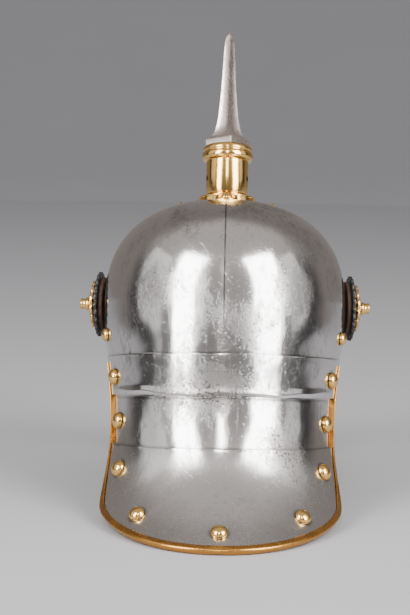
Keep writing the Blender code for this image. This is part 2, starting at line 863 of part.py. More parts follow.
def dished(columns, radius, dish, sheet, seat, rim):
    """A dished disc with a bore. rim gives each column's share of the radius and its lift at the edge."""
    sections = []
    for i in range(columns):
        share, lift = rim(i)
        angle = 360 * i / columns
        outline = (
            (BORE_R, seat + dish + sheet),
            (radius * DISH_MIDDLE, seat + dish * DISH_FALL + sheet),
            (radius * share, seat + sheet * DISH_RIM + lift),
            (radius * share, seat + lift),
            (radius * DISH_MIDDLE, seat + dish * DISH_FALL),
            (BORE_R, seat + dish),
        )
        sections.append([polar(angle, r, z) for r, z in outline])
    return loft(sections, ring=True)


def build_cockade(helmet, name, side):
    place = cockade_place(side)
    washer_top = WASHER_SEAT + WASHER_THICKNESS
    washer = (
        (WASHER_R, washer_top),
        (WASHER_R, WASHER_SEAT),
        (BORE_R, WASHER_SEAT),
        (BORE_R, washer_top),
    )
    turn(helmet.add("cockade_washer_" + name, turned(washer, closed=True), "leather", place), NECK_FACETS)

    def teeth(i):
        return (1.0 if i % 2 else 1 - COCKADE_TOOTH / COCKADE_R), COCKADE_TOOTH * COCKADE_TOOTH_LIFT * (i % 2)

    disc = dished(2 * COCKADE_TEETH, COCKADE_R, COCKADE_DISH, COCKADE_SHEET, COCKADE_SEAT, teeth)
    helmet.add("cockade_" + name, disc, "black", place)

    def lobes(i):
        return (1.0 if i % 2 else ROSETTE_NOTCH), 0.0

    rosette = dished(2 * ROSETTE_LOBES, ROSETTE_R, ROSETTE_DISH, ROSETTE_SHEET, ROSETTE_SEAT, lobes)
    helmet.add("rosette_" + name, rosette, "brass", place)

    tip = BOSS_SEAT + BOSS_LENGTH
    foot = -(SHEET + SHANK_REACH)
    knob = [(BOSS_R * row["width"], BOSS_SEAT + BOSS_LENGTH * row["height"]) for row in BOSS]
    boss = [(0, tip)] + knob + [
        (BOSS_R, BOSS_SEAT),
        (POST_R, BOSS_SEAT),
        (POST_R, foot),
        (0, foot),
    ]
    turn(helmet.add("boss_" + name, turned(boss), "brass", place), BOSS_FACETS)


# Whole helmet


def stand_on_table(helmet):
    """Moves the frame so that the lowest point is at z = 0 and the middle of the box at x = y = 0."""
    bpy.context.view_layer.update()
    graph = bpy.context.evaluated_depsgraph_get()
    corners = []
    for piece in helmet.parts.objects:
        if piece.type != "MESH":
            continue
        mesh = piece.evaluated_get(graph).to_mesh()
        corners += [piece.matrix_world @ vert.co for vert in mesh.vertices]
    points = np.array(corners)
    low, high = points.min(axis=0), points.max(axis=0)
    helmet.frame.location = (-(low[0] + high[0]) / 2, -(low[1] + high[1]) / 2, -low[2])
    bpy.context.view_layer.update()


def main():
    clear_scene()
    helmet = Helmet()
    build_skull(helmet)
    build_guard(helmet)
    build_visor(helmet)
    build_edging(helmet)
    build_rivets(helmet)
    build_spike_base(helmet)
    build_studs(helmet)
    build_neck(helmet)
    build_spike(helmet)
    for name, side in SIDES:
        build_cockade(helmet, name, side)
    stand_on_table(helmet)


main()
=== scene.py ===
"""Spiked steel helmet: fine sheets, fittings, finishes and a studio, built around the packed helmet.

The helmet's own frame has +Z along the spike, +Y to the front and its zero on the spike's axis at ear level.
Lengths are in metres. Angles round the helmet are in degrees from the rear, growing to the wearer's right.
"""

import math

import bmesh
import bpy
import numpy as np
from bpy.props import FloatProperty, FloatVectorProperty, IntProperty, PointerProperty
from mathutils import Matrix, Vector


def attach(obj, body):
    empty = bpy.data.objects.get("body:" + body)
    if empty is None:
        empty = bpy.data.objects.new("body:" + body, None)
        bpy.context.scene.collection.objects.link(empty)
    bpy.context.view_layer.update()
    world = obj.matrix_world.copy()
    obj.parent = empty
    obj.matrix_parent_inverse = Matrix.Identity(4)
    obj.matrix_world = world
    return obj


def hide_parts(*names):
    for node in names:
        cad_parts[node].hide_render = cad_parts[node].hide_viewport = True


bl_info = {
    "name": "Spiked Helmet",
    "version": (1, 0, 0),
    "blender": (4, 5, 0),
    "location": "3D View > Sidebar > Helmet",
    "description": "Builds a steel helmet with a spike, a plated neck guard, a visor and side cockades",
    "category": "Add Mesh",
}

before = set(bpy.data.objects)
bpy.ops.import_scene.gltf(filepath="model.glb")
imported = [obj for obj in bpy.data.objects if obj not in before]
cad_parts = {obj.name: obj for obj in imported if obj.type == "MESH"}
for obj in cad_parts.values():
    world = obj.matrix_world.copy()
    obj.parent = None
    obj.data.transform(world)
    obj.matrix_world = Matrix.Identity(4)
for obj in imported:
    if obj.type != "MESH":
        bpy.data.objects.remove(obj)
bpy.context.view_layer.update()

SIDES = (("left", -1), ("right", 1))

# Heights, reaches and shapes of the sheets
EQUATOR_Z = 0.028
CROWN_POWER = 2.5
CROWN_HOLE_R = 0.011
EAR_Z = 0.002
BRIM_FRONT_Z = -0.021
JOINT_Z = -0.0188
TAIL_Z = -0.1605
TAIL_REAR_FLARE = 0.0485
TAIL_SIDE_FLARE = 0.0327
TAIL_CORNER_Z = -0.117
TAIL_CORNER_POWER = 4.2
LAP = 0.008
VISOR_HALF_ANGLE = 68.0
VISOR_SPLAY = 0.14
VISOR_TAPER = 0.8
VISOR_BAND = 0.25
EDGE_POINTS = 400

# Places and small sizes of the fittings
SKULL_RIVET_RISE = 0.0159
SKULL_RIVET_TURN = 1.6
VISOR_RIVET_SHARE = 0.68
SEAT_GAP = 0.0003
EDGE_ROUND = 0.0003
SHANK_R = 0.0014
SHANK_LENGTH = 0.0024
POST_R = 0.0026
POST_BORE_R = 0.0029
STEM_R = 0.0068
STEM_LENGTH = 0.008
STEM_BORE_R = 0.0073
NECK_WALL = 0.0013
SPIGOT_INSET = 0.0016
SPIGOT_HEIGHT = 0.007
BASE_SHEET = 0.0013
BASE_WAIST = 0.98
FLANGE_RIM_SHARE = 0.26
STUD_INSET = 0.0075
STUD_LIFT = 0.0015
VENT_R = 0.0022
VENT_ANGLE = 75.0
COCKADE_Z = 0.034
COCKADE_FORWARD = 0.012
WASHER_LIFT = 0.0006

# Studio: floor and backdrop, then the camera with its focal length and picture height in pixels
FLOOR_R = 2.6
SWEEP_R = 3.0
FOCAL_LENGTH_PX = 1965
PICTURE_HEIGHT_PX = 615
CAMERA_TARGET = (0, 0.034311, 0.1405)
CAMERA_SHIFT = 0.0150
CAMERA_TURN = 0.9
CAMERA_RISE = 8.0
CAMERA_ROLL = 0.9
LIGHT_TARGET = (0, 0.02, 0.15)

# Soft lights: azimuth, elevation, distance, width and height, power as a share of the strip power.
LIGHTS = (
    ("strip left", -45, 25, 1.7, (0.66, 1.35), 1.0),
    ("strip right", 49, 25, 1.7, (0.84, 1.35), 1.25),
    ("centre card", -1, 30, 1.9, (0.26, 0.9), 0.22),
    ("left card", -84, 20, 1.8, (0.90, 1.1), 0.06),
    ("right card", 84, 20, 1.8, (0.60, 1.1), 0.04),
)

# The room that the steel mirrors: share of the way from straight below to straight above, and its tone there.
ROOM_TONES = (
    (0.00, (0.10, 0.10, 0.10)),
    (0.50, (0.14, 0.135, 0.14)),
    (0.62, (0.26, 0.25, 0.245)),
    (0.80, (0.44, 0.42, 0.41)),
    (1.00, (0.66, 0.62, 0.60)),
)
ROOM_WALL = (0.26, 0.235, 0.22)
ROOM_CORNER = (0.05, 0.046, 0.048)

# Where the helmet's own frame lies on the table
REST_PITCH = math.radians(17.0431534)
HELMET_PLACE = Matrix.Translation((0, 0.034311, 0.1096078)) @ Matrix.Rotation(-REST_PITCH, 4, "X")

# Wall below the equator. level: 0 at the equator, 1 at the neck joint, 2 at the tail's edge.
# side and rear: growth of half width and rear reach, as shares of the flares. edge: angle of the free edge.
WALL = (
    {"level": 0.00, "side": 0.000, "rear": 0.000, "edge": 78.0},
    {"level": 0.50, "side": -0.049, "rear": -0.014, "edge": 76.5},
    {"level": 1.00, "side": -0.145, "rear": -0.055, "edge": 73.8},
    {"level": 1.22, "side": -0.192, "rear": -0.125, "edge": 70.0},
    {"level": 1.48, "side": -0.086, "rear": -0.080, "edge": 64.2},
    {"level": 1.66, "side": 0.177, "rear": 0.110, "edge": 58.3},
    {"level": 1.84, "side": 0.578, "rear": 0.520, "edge": 50.5},
    {"level": 2.00, "side": 1.000, "rear": 1.000, "edge": 46.0},
)

# Plate joints, top to bottom. rise: how much higher the joint is at the side. wave: how uneven its edge is.
# Last two columns: the width of a dark line along the joint, which is painted shadow under the lapping edge
# together with grime, and way: the line lies above the joint where way is 1 and below it where way is -1.
JOINTS = (
    {"level": 1.00, "rise": 0.0074, "wave": 0.00035, "grime_and_shade": 0.0013, "way": 1},
    {"level": 1.225, "rise": 0.0096, "wave": 0.00060, "grime_and_shade": 0.0014, "way": -1},
    {"level": 1.483, "rise": 0.0090, "wave": 0.00015, "grime_and_shade": 0.0012, "way": 1},
)

# Lower edge of the skull. share: 0 at ear level, 1 at the lapped rear edge or at the front brim.
RIM_ANGLES = np.array([0, 45, 60, 68, 76, 84, 92, 100, 112, 125, 145, 180])
RIM_SHARES = np.array([1, 1, 0.92, 0.68, 0.56, 0.22, 0.03, 0.05, 0.35, 0.72, 0.95, 1])

# Rivets of the neck guard. across: share of the way to the free edge, down: share of the plate.
GUARD_RIVETS = (
    {"name": "rivet_upper", "plate": 0, "across": 0.890, "down": 0.55},
    {"name": "rivet_middle", "plate": 1, "across": 0.895, "down": 0.52},
    {"name": "rivet_lower", "plate": 2, "across": 0.830, "down": 0.31},
    {"name": "rivet_corner", "plate": 2, "across": 0.610, "down": 0.77},
    {"name": "rivet_tail", "plate": 2, "across": 0.000, "down": 0.84},
)

# Spike above its plinth. Width is a share of the half diagonal, hollow how far a face's middle is sunk.
SPIKE_HEIGHTS = np.array([0, 0.022, 0.055, 0.105, 0.17, 0.31, 0.54, 0.76, 0.92, 0.98, 1])
SPIKE_WIDTHS = np.array([0.96, 0.79, 0.67, 0.56, 0.485, 0.4, 0.315, 0.255, 0.195, 0.12, 0.04])
SPIKE_HOLLOWS = np.array([0, 0.07, 0.13, 0.17, 0.18, 0.18, 0.16, 0.13, 0.08, 0, 0])

# Ring at the top of the neck. width: share of the ring's radius, height: share of the ring's height.
NECK_RING = (
    (0.740, 1.000),
    (0.860, 0.985),
    (0.905, 0.945),
    (0.940, 0.870),
    (0.962, 0.780),
    (0.966, 0.700),
    (0.950, 0.650),
    (0.930, 0.620),
    (0.930, 0.590),
    (0.952, 0.570),
    (0.980, 0.530),
    (0.996, 0.430),
    (1.000, 0.340),
    (0.993, 0.240),
    (0.972, 0.150),
    (0.930, 0.080),
    (0.870, 0.030),
    (0.825, 0.005),
)

# Boss in the middle of a rosette, as shares of its radius and its length.
BOSS = (
    (0.02, 1.00),
    (0.55, 1.00),
    (0.70, 0.99),
    (0.78, 0.95),
    (0.81, 0.88),
    (0.80, 0.78),
    (0.76, 0.62),
    (0.77, 0.48),
    (0.84, 0.34),
    (0.95, 0.22),
    (1.00, 0.13),
    (1.00, 0.02),
)

# Stained places on the steel: angle, height, how far the stain spreads and how dark it is.
STAINS = (
    (-8.0, -0.046, 0.022, 1.00),
    (6.0, -0.040, 0.014, 0.75),
    (-22.0, -0.050, 0.015, 0.70),
    (30.0, -0.088, 0.016, 0.85),
    (34.0, -0.106, 0.012, 0.70),
    (-30.0, 0.030, 0.020, 0.70),
    (13.0, 0.000, 0.022, 0.65),
    (34.0, 0.030, 0.018, 0.70),
    (-6.0, 0.010, 0.018, 0.50),
    (20.0, 0.098, 0.030, 0.60),
    (-28.0, 0.082, 0.026, 0.45),
    (40.0, 0.072, 0.022, 0.60),
    (-3.0, -0.070, 0.012, 0.35),
    (28.0, -0.078, 0.012, 0.80),
    (150.0, 0.040, 0.030, 0.60),
    (205.0, 0.020, 0.026, 0.55),
)


# Sizes and colours that a user would change


def length(name, description, default):
    return FloatProperty(name=name, description=description, default=default, unit="LENGTH", precision=5)


def factor(name, description, default):
    return FloatProperty(name=name, description=description, default=default, min=0, max=1, subtype="FACTOR")


def power(name, description, default):
    return FloatProperty(name=name, description=description, default=default, unit="POWER")


def tilt(name, description, degrees):
    return FloatProperty(
        name=name, description=description, default=math.radians(degrees), unit="ROTATION", subtype="ANGLE"
    )


def colour(name, description, default):
    return FloatVectorProperty(
        name=name, description=description, default=default, size=3, min=0, max=1, subtype="COLOR"
    )


class HelmetSheets(bpy.types.PropertyGroup):
    """Sizes of the skull and of the neck guard's plates"""

    thickness: length("Sheet", "Thickness of the steel", 0.0012)
    half_width: length("Half width", "Half of the skull's outer width over the ears", 0.0925)
    rear: length("Rear reach", "From the spike's axis to the back of the skull", 0.1085)
    front: length("Front reach", "From the spike's axis to the front of the skull", 0.1070)
    crown: length("Crown", "Height of the crown above the widest place", 0.0825)
    crease: length("Crease", "Height of the crease down the back", 0.0008)
    dent: length("Dents", "Depth of the shallow hammer marks", 0.00010)
    lap_gap: length("Lap gap", "Clearance between lapped plates", 0.0005)
    fold: length("Fold", "How far the upper plate's lower edge is rolled out", 0.00045)


class HelmetVisor(bpy.types.PropertyGroup):
    """Sizes of the visor"""

    length: length("Length", "Length of the peak in the middle", 0.066)
    end_length: length("End length", "Length of the peak at its ends", 0.010)
    slope: tilt("Slope", "Fall of the peak", 41)


class HelmetEdging(bpy.types.PropertyGroup):
    """Sizes of the brass edging"""

    wall: length("Wall", "Thickness of the brass", 0.0008)
    cover: length("Cover", "How far the edging reaches over the plate", 0.0034)
    narrow_cover: length("Narrow cover", "How far it reaches over the upright plates", 0.0011)
    edge_gap: length("Edge gap", "Clearance between the plate's edge and the edging", 0.0004)
    play: length("Play", "Clearance between the plate's faces and the edging", 0.0003)


class HelmetRivets(bpy.types.PropertyGroup):
    """Sizes of the brass rivets"""

    radius: length("Guard rivets", "Radius of the rivets in the neck guard", 0.0061)
    skull_radius: length("Skull rivets", "Radius of the two rivets above the neck guard", 0.0051)
    visor_radius: length("Visor rivets", "Radius of the three rivets in the visor's band", 0.0044)
    rise: factor("Rise", "Height of a head as a share of its radius", 0.78)


class HelmetSpike(bpy.types.PropertyGroup):
    """Sizes of the spike, its neck and its base"""

    height: length("Spike", "Height of the spike above its plinth", 0.0868)
    half_diagonal: length("Plinth half diagonal", "From the axis to a corner of the plinth", 0.0174)
    plinth: length("Plinth height", "Height of the plinth", 0.0050)
    turn: tilt("Turn", "Turn of the square spike", 36)
    neck_radius: length("Neck radius", "Outer radius of the neck", 0.0161)
    neck_height: length("Neck height", "Height of the neck's plain part", 0.0262)
    ring_radius: length("Ring radius", "Outer radius of the ring", 0.0198)
    ring_height: length("Ring height", "Height of the ring", 0.0125)
    flange_radius: length("Flange radius", "Radius of the base's flange", 0.022)
    flange_rise: length("Flange rise", "Height of the flange over the crown", 0.0092)
    arm_reach: length("Arm reach", "From the axis to the end of a base arm", 0.042)
    arm_half_width: length("Arm half width", "Half of a base arm's width", 0.0085)
    stud_radius: length("Stud radius", "Radius of the star studs", 0.0036)
    stud_rise: length("Stud rise", "Height of the star studs", 0.0040)


class HelmetCockades(bpy.types.PropertyGroup):
    """Sizes of the cockades"""

    radius: length("Radius", "Radius of the black disc", 0.0252)
    dish: length("Dish", "How far the disc is domed", 0.0042)
    sheet: length("Disc sheet", "Thickness of the disc", 0.0020)
    teeth: IntProperty(name="Teeth", description="Teeth round the disc", default=22, min=3)
    tooth: length("Tooth", "Depth of a tooth", 0.0014)
    washer_radius: length("Washer radius", "Radius of the leather washer", 0.0210)
    washer: length("Washer", "Thickness of the leather washer", 0.0027)
    rosette_radius: length("Rosette radius", "Radius of the brass rosette", 0.0184)
    rosette_dish: length("Rosette dish", "How far the rosette is domed", 0.0036)
    rosette_sheet: length("Rosette sheet", "Thickness of the rosette", 0.0016)
    lobes: IntProperty(name="Lobes", description="Lobes round the rosette", default=12, min=3)
    boss_radius: length("Boss radius", "Radius of the boss", 0.0052)
    boss: length("Boss", "Length of the boss", 0.0063)


class HelmetFinish(bpy.types.PropertyGroup):
    """Colours and polish of the finishes"""

    steel: colour("Steel", "Polished steel", (0.66, 0.64, 0.625))
    # The stain colour also paints the shadow lines along the plate joints.
    stain: colour("Stain", "Stained and pitted steel", (0.17, 0.15, 0.14))
    brass: colour("Brass", "Bright brass", (0.84, 0.53, 0.17))
    tarnish: colour("Tarnish", "Tarnished brass", (0.48, 0.25, 0.07))
    edging: colour("Edging", "Brass of the edging", (0.50, 0.24, 0.055))
    spike: colour("Spike", "Silver-coloured metal of the spike", (0.74, 0.645, 0.60))
    lacquer: colour("Lacquer", "Black lacquer of the cockades", (0.010, 0.010, 0.011))
    leather: colour("Leather", "Dark leather of the washers", (0.030, 0.013, 0.007))
    polish: factor("Steel roughness", "Roughness of the cleanest steel", 0.13)


class HelmetStudio(bpy.types.PropertyGroup):
    """Floor, light and camera"""

    floor: colour("Floor", "Pale floor", (0.35, 0.345, 0.355))
    ambient: colour("Ambient", "Light from all round on surfaces that aren't shiny", (0.50, 0.50, 0.52))
    strip_power: power("Strip power", "Power of the left strip light. The others are shares of it", 46)
    fill_power: power("Fill power", "Power of the top light", 18)
    distance: length("Camera distance", "From the camera to the middle of the helmet", 1.5)


GROUPS = {
    "helmet_sheets": HelmetSheets,
    "helmet_visor": HelmetVisor,
    "helmet_edging": HelmetEdging,
    "helmet_rivets": HelmetRivets,
    "helmet_spike": HelmetSpike,
    "helmet_cockades": HelmetCockades,
    "helmet_finish": HelmetFinish,
    "helmet_studio": HelmetStudio,
}


def sizes(name):
    return getattr(bpy.context.scene, "helmet_" + name)


# Curves and surfaces of the helmet, for whole arrays of points


def smooth(knots, values, x):
    """Smooth curve through a short table: cubic pieces with the slopes of the neighbouring rows."""
    x = np.clip(np.asarray(x, float), knots[0], knots[-1])
    slopes = np.gradient(values, knots)
    i = np.clip(np.searchsorted(knots, x) - 1, 0, len(knots) - 2)
    span = knots[i + 1] - knots[i]
    s = (x - knots[i]) / span
    start = (1 + 2 * s) * (1 - s) ** 2 * values[i] + s * (1 - s) ** 2 * span * slopes[i]
    return start + s * s * (3 - 2 * s) * values[i + 1] - s * s * (1 - s) * span * slopes[i + 1]


def level_height(level):
    if level <= 1:
        return EQUATOR_Z + level * (JOINT_Z - EQUATOR_Z)
    return JOINT_Z + (level - 1) * (TAIL_Z - JOINT_Z)


WALL_HEIGHTS = np.array([level_height(row["level"]) for row in reversed(WALL)])
WALL_COLUMNS = {key: np.array([row[key] for row in reversed(WALL)]) for key in ("side", "rear", "edge")}


def wall_value(key, z):
    return smooth(WALL_HEIGHTS, WALL_COLUMNS[key], z)


def crown_share(z):
    """Width of the crown at a height, as a share of its width at the equator."""
    rise = np.clip((z - EQUATOR_Z) / sizes("sheets").crown, 0, 1)
    return (1 - rise**CROWN_POWER) ** (1 / CROWN_POWER)


def crown_height(share):
    return EQUATOR_Z + sizes("sheets").crown * (1 - share**CROWN_POWER) ** (1 / CROWN_POWER)


def reach(z, angle):
    """Half length of the helmet at a height, behind or in front of the spike's axis."""
    sheets = sizes("sheets")
    length_here = np.where(np.cos(np.radians(angle)) > 0, sheets.rear, sheets.front)
    return (length_here + wall_value("rear", z) * TAIL_REAR_FLARE) * crown_share(z)


def wall_point(angle, z):
    angle, z = np.broadcast_arrays(np.asarray(angle, float), np.asarray(z, float))
    width = (sizes("sheets").half_width + wall_value("side", z) * TAIL_SIDE_FLARE) * crown_share(z)
    turn = np.radians(angle)
    return np.stack([width * np.sin(turn), -reach(z, angle) * np.cos(turn), z], axis=-1)


def unit(vectors):
    return vectors / np.linalg.norm(vectors, axis=-1, keepdims=True)


def surface_normal(point, u, v, step_u, step_v):
    """Normals of a surface, turned away from the spike's axis."""
    along_u = point(u + step_u, v) - point(u - step_u, v)
    along_v = point(u, v + step_v) - point(u, v - step_v)
    normal = np.cross(along_u, along_v)
    outward = (normal[..., :2] * point(u, v)[..., :2]).sum(axis=-1, keepdims=True)
    return unit(np.where(outward < 0, -normal, normal))


def wall_normal(angle, z):
    return surface_normal(wall_point, np.asarray(angle, float), np.asarray(z, float), 0.2, 0.0002)


def on_wall(angle, z, lift=0.0):
    return wall_point(angle, z) + wall_normal(angle, z) * np.asarray(lift, float)[..., None]


def rim_height(angle):
    """Lower edge of the skull: lapped at the rear, arched over the ear, low at the front."""
    turn = np.abs((np.asarray(angle, float) + 180) % 360 - 180)
    low = np.where(turn < 90, JOINT_Z - LAP, BRIM_FRONT_Z)
    return EAR_Z + smooth(RIM_ANGLES, RIM_SHARES, turn) * (low - EAR_Z)


def guard_angle(across, z):
    return across * wall_value("edge", z)


def joint_height(row, across):
    """Each joint lies in a plane that is higher at the sides."""
    z = level_height(row["level"])
    edge = math.radians(float(wall_value("edge", z)))
    return z + row["rise"] * (1 - np.cos(across * edge)) / (1 - math.cos(edge))


def table_height(across):
    """Where a line down the guard meets the plane that the helmet stands on."""
    tail_reach = sizes("sheets").rear + TAIL_REAR_FLARE
    z = np.full(np.shape(across), TAIL_Z)
    for _ in range(30):
        angle = guard_angle(across, z)
        behind = reach(z, angle) * np.cos(np.radians(angle))
        z = TAIL_Z + (tail_reach - behind) * math.tan(REST_PITCH)
    return z


def tail_height(across):
    """Lower edge of the guard: flat on the table, with rounded corners."""
    across = np.asarray(across, float)
    round_off = (1 - np.clip(np.abs(across), 0, 1) ** TAIL_CORNER_POWER) ** (1 / TAIL_CORNER_POWER)
    return TAIL_CORNER_Z + (table_height(across) - TAIL_CORNER_Z) * round_off


def plate_span(index, across):
    """Top and bottom of a plate. The middle plate is tucked under both of its neighbours."""
    tops = [joint_height(row, across) for row in JOINTS]
    if index == 0:
        return tops[0], tops[1]
    if index == 1:
        return tops[1] + LAP, tops[2] - LAP
    return tops[2], tail_height(across)


def plate_lift(index):
    sheets = sizes("sheets")
    return 0.0 if index == 1 else sheets.lap_gap + sheets.thickness


def dents(angle, z):
    """Shallow hammer marks, never standing out of the sheet."""
    turn = np.radians(angle)
    marks = np.sin(7 * turn + 1.3) * np.sin(96 * z + 0.7)
    marks = marks + 0.7 * np.sin(13 * turn + 74 * z) * np.sin(171 * z + 2.1)
    marks = marks + 0.5 * np.sin(23 * turn - 110 * z + 0.4) * np.sin(260 * z)
    return sizes("sheets").dent * (marks / 2.2 - 1)


def crown_at(angle, r):
    """Height of the crown's outer face at a distance from the axis."""
    sheets = sizes("sheets")
    turn = np.radians(angle)
    length_here = np.where(np.cos(turn) > 0, sheets.rear, sheets.front)
    return crown_height(np.hypot(r * np.sin(turn) / sheets.half_width, r * np.cos(turn) / length_here))


def polar(angle, r, z):
    angle, r, z = np.broadcast_arrays(np.asarray(angle, float), np.asarray(r, float), np.asarray(z, float))
    turn = np.radians(angle)
    return np.stack([r * np.sin(turn), -r * np.cos(turn), z], axis=-1)


# Building blocks


def grid_mesh(name, points, wrap_rows=False, wrap_columns=False):
    """A mesh over a grid of points, whose rows or columns may join up again."""
    rows, columns = points.shape[:2]
    index = np.arange(rows * columns).reshape(rows, columns)
    if wrap_rows:
        index = np.vstack([index, index[:1]])
    if wrap_columns:
        index = np.hstack([index, index[:, :1]])
    faces = np.stack([index[:-1, :-1], index[:-1, 1:], index[1:, 1:], index[1:, :-1]], axis=-1)
    mesh = bpy.data.meshes.new(name)
    mesh.from_pydata(points.reshape(-1, 3).tolist(), [], faces.reshape(-1, 4).tolist())
    return mesh


def face_outward(mesh, section=0):
    """Turns every face outward, and closes a tube's ends where section is its number of points round."""
    bm = bmesh.new()
    bm.from_mesh(mesh)
    if section:
        bm.verts.ensure_lookup_table()
        for first in (0, len(bm.verts) - section):
            bm.faces.new([bm.verts[first + i] for i in range(section)])
    bmesh.ops.recalc_face_normals(bm, faces=bm.faces)
    bm.to_mesh(mesh)
    bm.free()
    return mesh


def face_away(mesh):
    """Turns an open sheet's faces away from the spike's axis, judged by its middle face."""
    mesh.update()
    middle = mesh.polygons[len(mesh.polygons) // 2]
    if middle.normal.xy.dot(middle.center.xy) < 0:
        mesh.flip_normals()
    return mesh


def turned_mesh(name, profile, segments):
    """A turned piece from its outline of radius and height, open ends closed."""
    angles = np.arange(segments) * 360 / segments
    points = np.stack([polar(angles, max(r, 0.00002), z) for r, z in profile])
    return face_outward(grid_mesh(name, points, wrap_columns=True), segments)


def turned_ring_mesh(name, profile, segments):
    """A turned piece with a bore, from its closed outline."""
    angles = np.arange(segments) * 360 / segments
    points = np.stack([polar(angles, r, z) for r, z in profile])
    return face_outward(grid_mesh(name, points, wrap_rows=True, wrap_columns=True))


def place_on(point, normal):
    """A place whose Z stands on a surface."""
    turn = Vector((0, 0, 1)).rotation_difference(Vector(normal))
    return Matrix.Translation(Vector(point)) @ turn.to_matrix().to_4x4()


def thicken(thickness, offset):
    def add(piece):
        wall = piece.modifiers.new("wall", "SOLIDIFY")
        wall.thickness = thickness
        wall.offset = offset

    return add


def round_edges(piece):
    bevel = piece.modifiers.new("round edges", "BEVEL")
    bevel.width = EDGE_ROUND
    bevel.segments = 2
    bevel.limit_method = "ANGLE"
    bevel.angle_limit = math.radians(50)


def settle(piece, sharp=38):
    """Applies a piece's modifiers and shades it smooth, sharp edges apart."""
    graph = bpy.context.evaluated_depsgraph_get()
    mesh = bpy.data.meshes.new_from_object(piece.evaluated_get(graph))
    old = piece.data
    piece.modifiers.clear()
    piece.data = mesh
    bpy.data.meshes.remove(old)
    mesh.name = piece.name
    mesh.shade_smooth()
    mesh.set_sharp_from_angle(angle=math.radians(sharp))


def add_piece(name, mesh, material, slot, place=None, steps=(), sharp=38, tarnished=False):
    """Adds a piece in place of the node of its own name. place is in the helmet's frame."""
    mesh.transform(HELMET_PLACE @ place if place else HELMET_PLACE)
    piece = bpy.data.objects.new(name + "_fine", mesh)
    bpy.context.scene.collection.objects.link(piece)
    for step in steps:
        step(piece)
    bpy.context.view_layer.update()
    settle(piece, sharp)
    if tarnished:
        mark_stains(piece.data)
    piece.data.materials.clear()
    piece.data.materials.append(material)
    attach(piece, "root")
    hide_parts(name)
    return piece


def add_steel(name, mesh, offset, sharp=38):
    """Adds a steel piece from an open sheet, thickened inward for offset -1 and outward for offset 1."""
    steps = (thicken(sizes("sheets").thickness, offset), round_edges)
    return add_piece(
        name, face_away(mesh), steel_material(), "polished_steel", steps=steps, sharp=sharp, tarnished=True
    )


def add_brass(name, mesh, place=None, **finish):
    return add_piece(name, mesh, gilt_brass(), "gilt_brass", place, **finish)


def mark_stains(mesh):
    """Writes how stained each point of the steel is: the table's places, grime round each rivet, and a line
    of painted shadow along each plate joint.
    """
    points = np.empty(len(mesh.vertices) * 3)
    mesh.vertices.foreach_get("co", points)
    back = np.array(HELMET_PLACE.inverted())
    points = points.reshape(-1, 3) @ back[:3, :3].T + back[:3, 3]
    amount = np.zeros(len(points))
    for angle, z, spread, dark in STAINS:
        away = np.linalg.norm(points - wall_point(angle, z), axis=1)
        amount = np.maximum(amount, dark * np.exp(-((away / spread) ** 2)))
    grime_and_shade = np.zeros(len(points))
    for centre, radius in rivet_spots():
        away = np.linalg.norm(points - centre, axis=1)
        grime_and_shade = np.maximum(grime_and_shade, np.exp(-(np.clip(away / radius - 1, 0, None) / 0.22) ** 2))
    angle = np.degrees(np.arctan2(points[:, 0], -points[:, 1]))
    edge = np.maximum(wall_value("edge", points[:, 2]), 1)
    across = np.clip(angle / edge, -1, 1)
    # Painted shadow under each lapping edge, as a dark line along the plate joints.
    for row in JOINTS:
        beyond = (points[:, 2] - joint_height(row, across)) * row["way"]
        line = np.where(beyond > -0.0002, np.exp(-((beyond / row["grime_and_shade"]) ** 2)), 0) * (np.abs(angle) < edge)
        grime_and_shade = np.maximum(grime_and_shade, 0.9 * line)
    for name, values in (("stain", amount), ("grime_and_shade", grime_and_shade)):
        layer = mesh.attributes.new(name, "FLOAT", "POINT")
        layer.data.foreach_set("value", values)


# Materials


def new_group(name, inputs, outputs):
    """An empty shader node group. inputs and outputs give each socket's name, kind and default."""
    tree = bpy.data.node_groups.new(name, "ShaderNodeTree")
    for direction, sockets in (("INPUT", inputs), ("OUTPUT", outputs)):
        for label, kind, default in sockets:
            socket = tree.interface.new_socket(label, in_out=direction, socket_type="NodeSocket" + kind)
            if default is not None:
                socket.default_value = default
    return tree, tree.nodes.new("NodeGroupInput"), tree.nodes.new("NodeGroupOutput")


def node(tree, kind, **values):
    """Adds a node and sets its own values. A value whose name is a socket's goes to that socket."""
    made = tree.nodes.new("ShaderNode" + kind)
    for key, value in values.items():
        if hasattr(made, key):
            setattr(made, key, value)
        else:
            made.inputs[key].default_value = value
    return made


def feed(tree, socket, value):
    """Links a socket to another one, or sets its value."""
    if isinstance(value, bpy.types.NodeSocket):
        tree.links.new(value, socket)
    elif socket.type == "RGBA":
        socket.default_value = (*value, 1)
    else:
        socket.default_value = value


def math_node(tree, operation, first, second, clamp=False):
    made = node(tree, "Math", operation=operation, use_clamp=clamp)
    for socket, value in zip(made.inputs, (first, second)):
        feed(tree, socket, value)
    return made.outputs[0]


def times(tree, first, second, clamp=False):
    return math_node(tree, "MULTIPLY", first, second, clamp)


def plus(tree, first, second):
    return math_node(tree, "ADD", first, second)


def between(tree, value, low, high, start=0.0, end=1.0):
    """Smooth step of a value from low to high."""
    made = node(tree, "MapRange", interpolation_type="SMOOTHSTEP")
    tree.links.new(value, made.inputs["Value"])
    for label, number in (("From Min", low), ("From Max", high), ("To Min", start), ("To Max", end)):
        made.inputs[label].default_value = number
    return made.outputs["Result"]


def mix_colour(tree, amount, first, second):
    made = node(tree, "Mix", data_type="RGBA")
    for index, value in ((0, amount), (6, first), (7, second)):
        feed(tree, made.inputs[index], value)
    return made.outputs[2]


def coordinates(tree, vector):
    """X, Y and Z of a vector."""
    parts = tree.nodes.new("ShaderNodeSeparateXYZ")
    tree.links.new(vector, parts.inputs[0])
    return parts.outputs


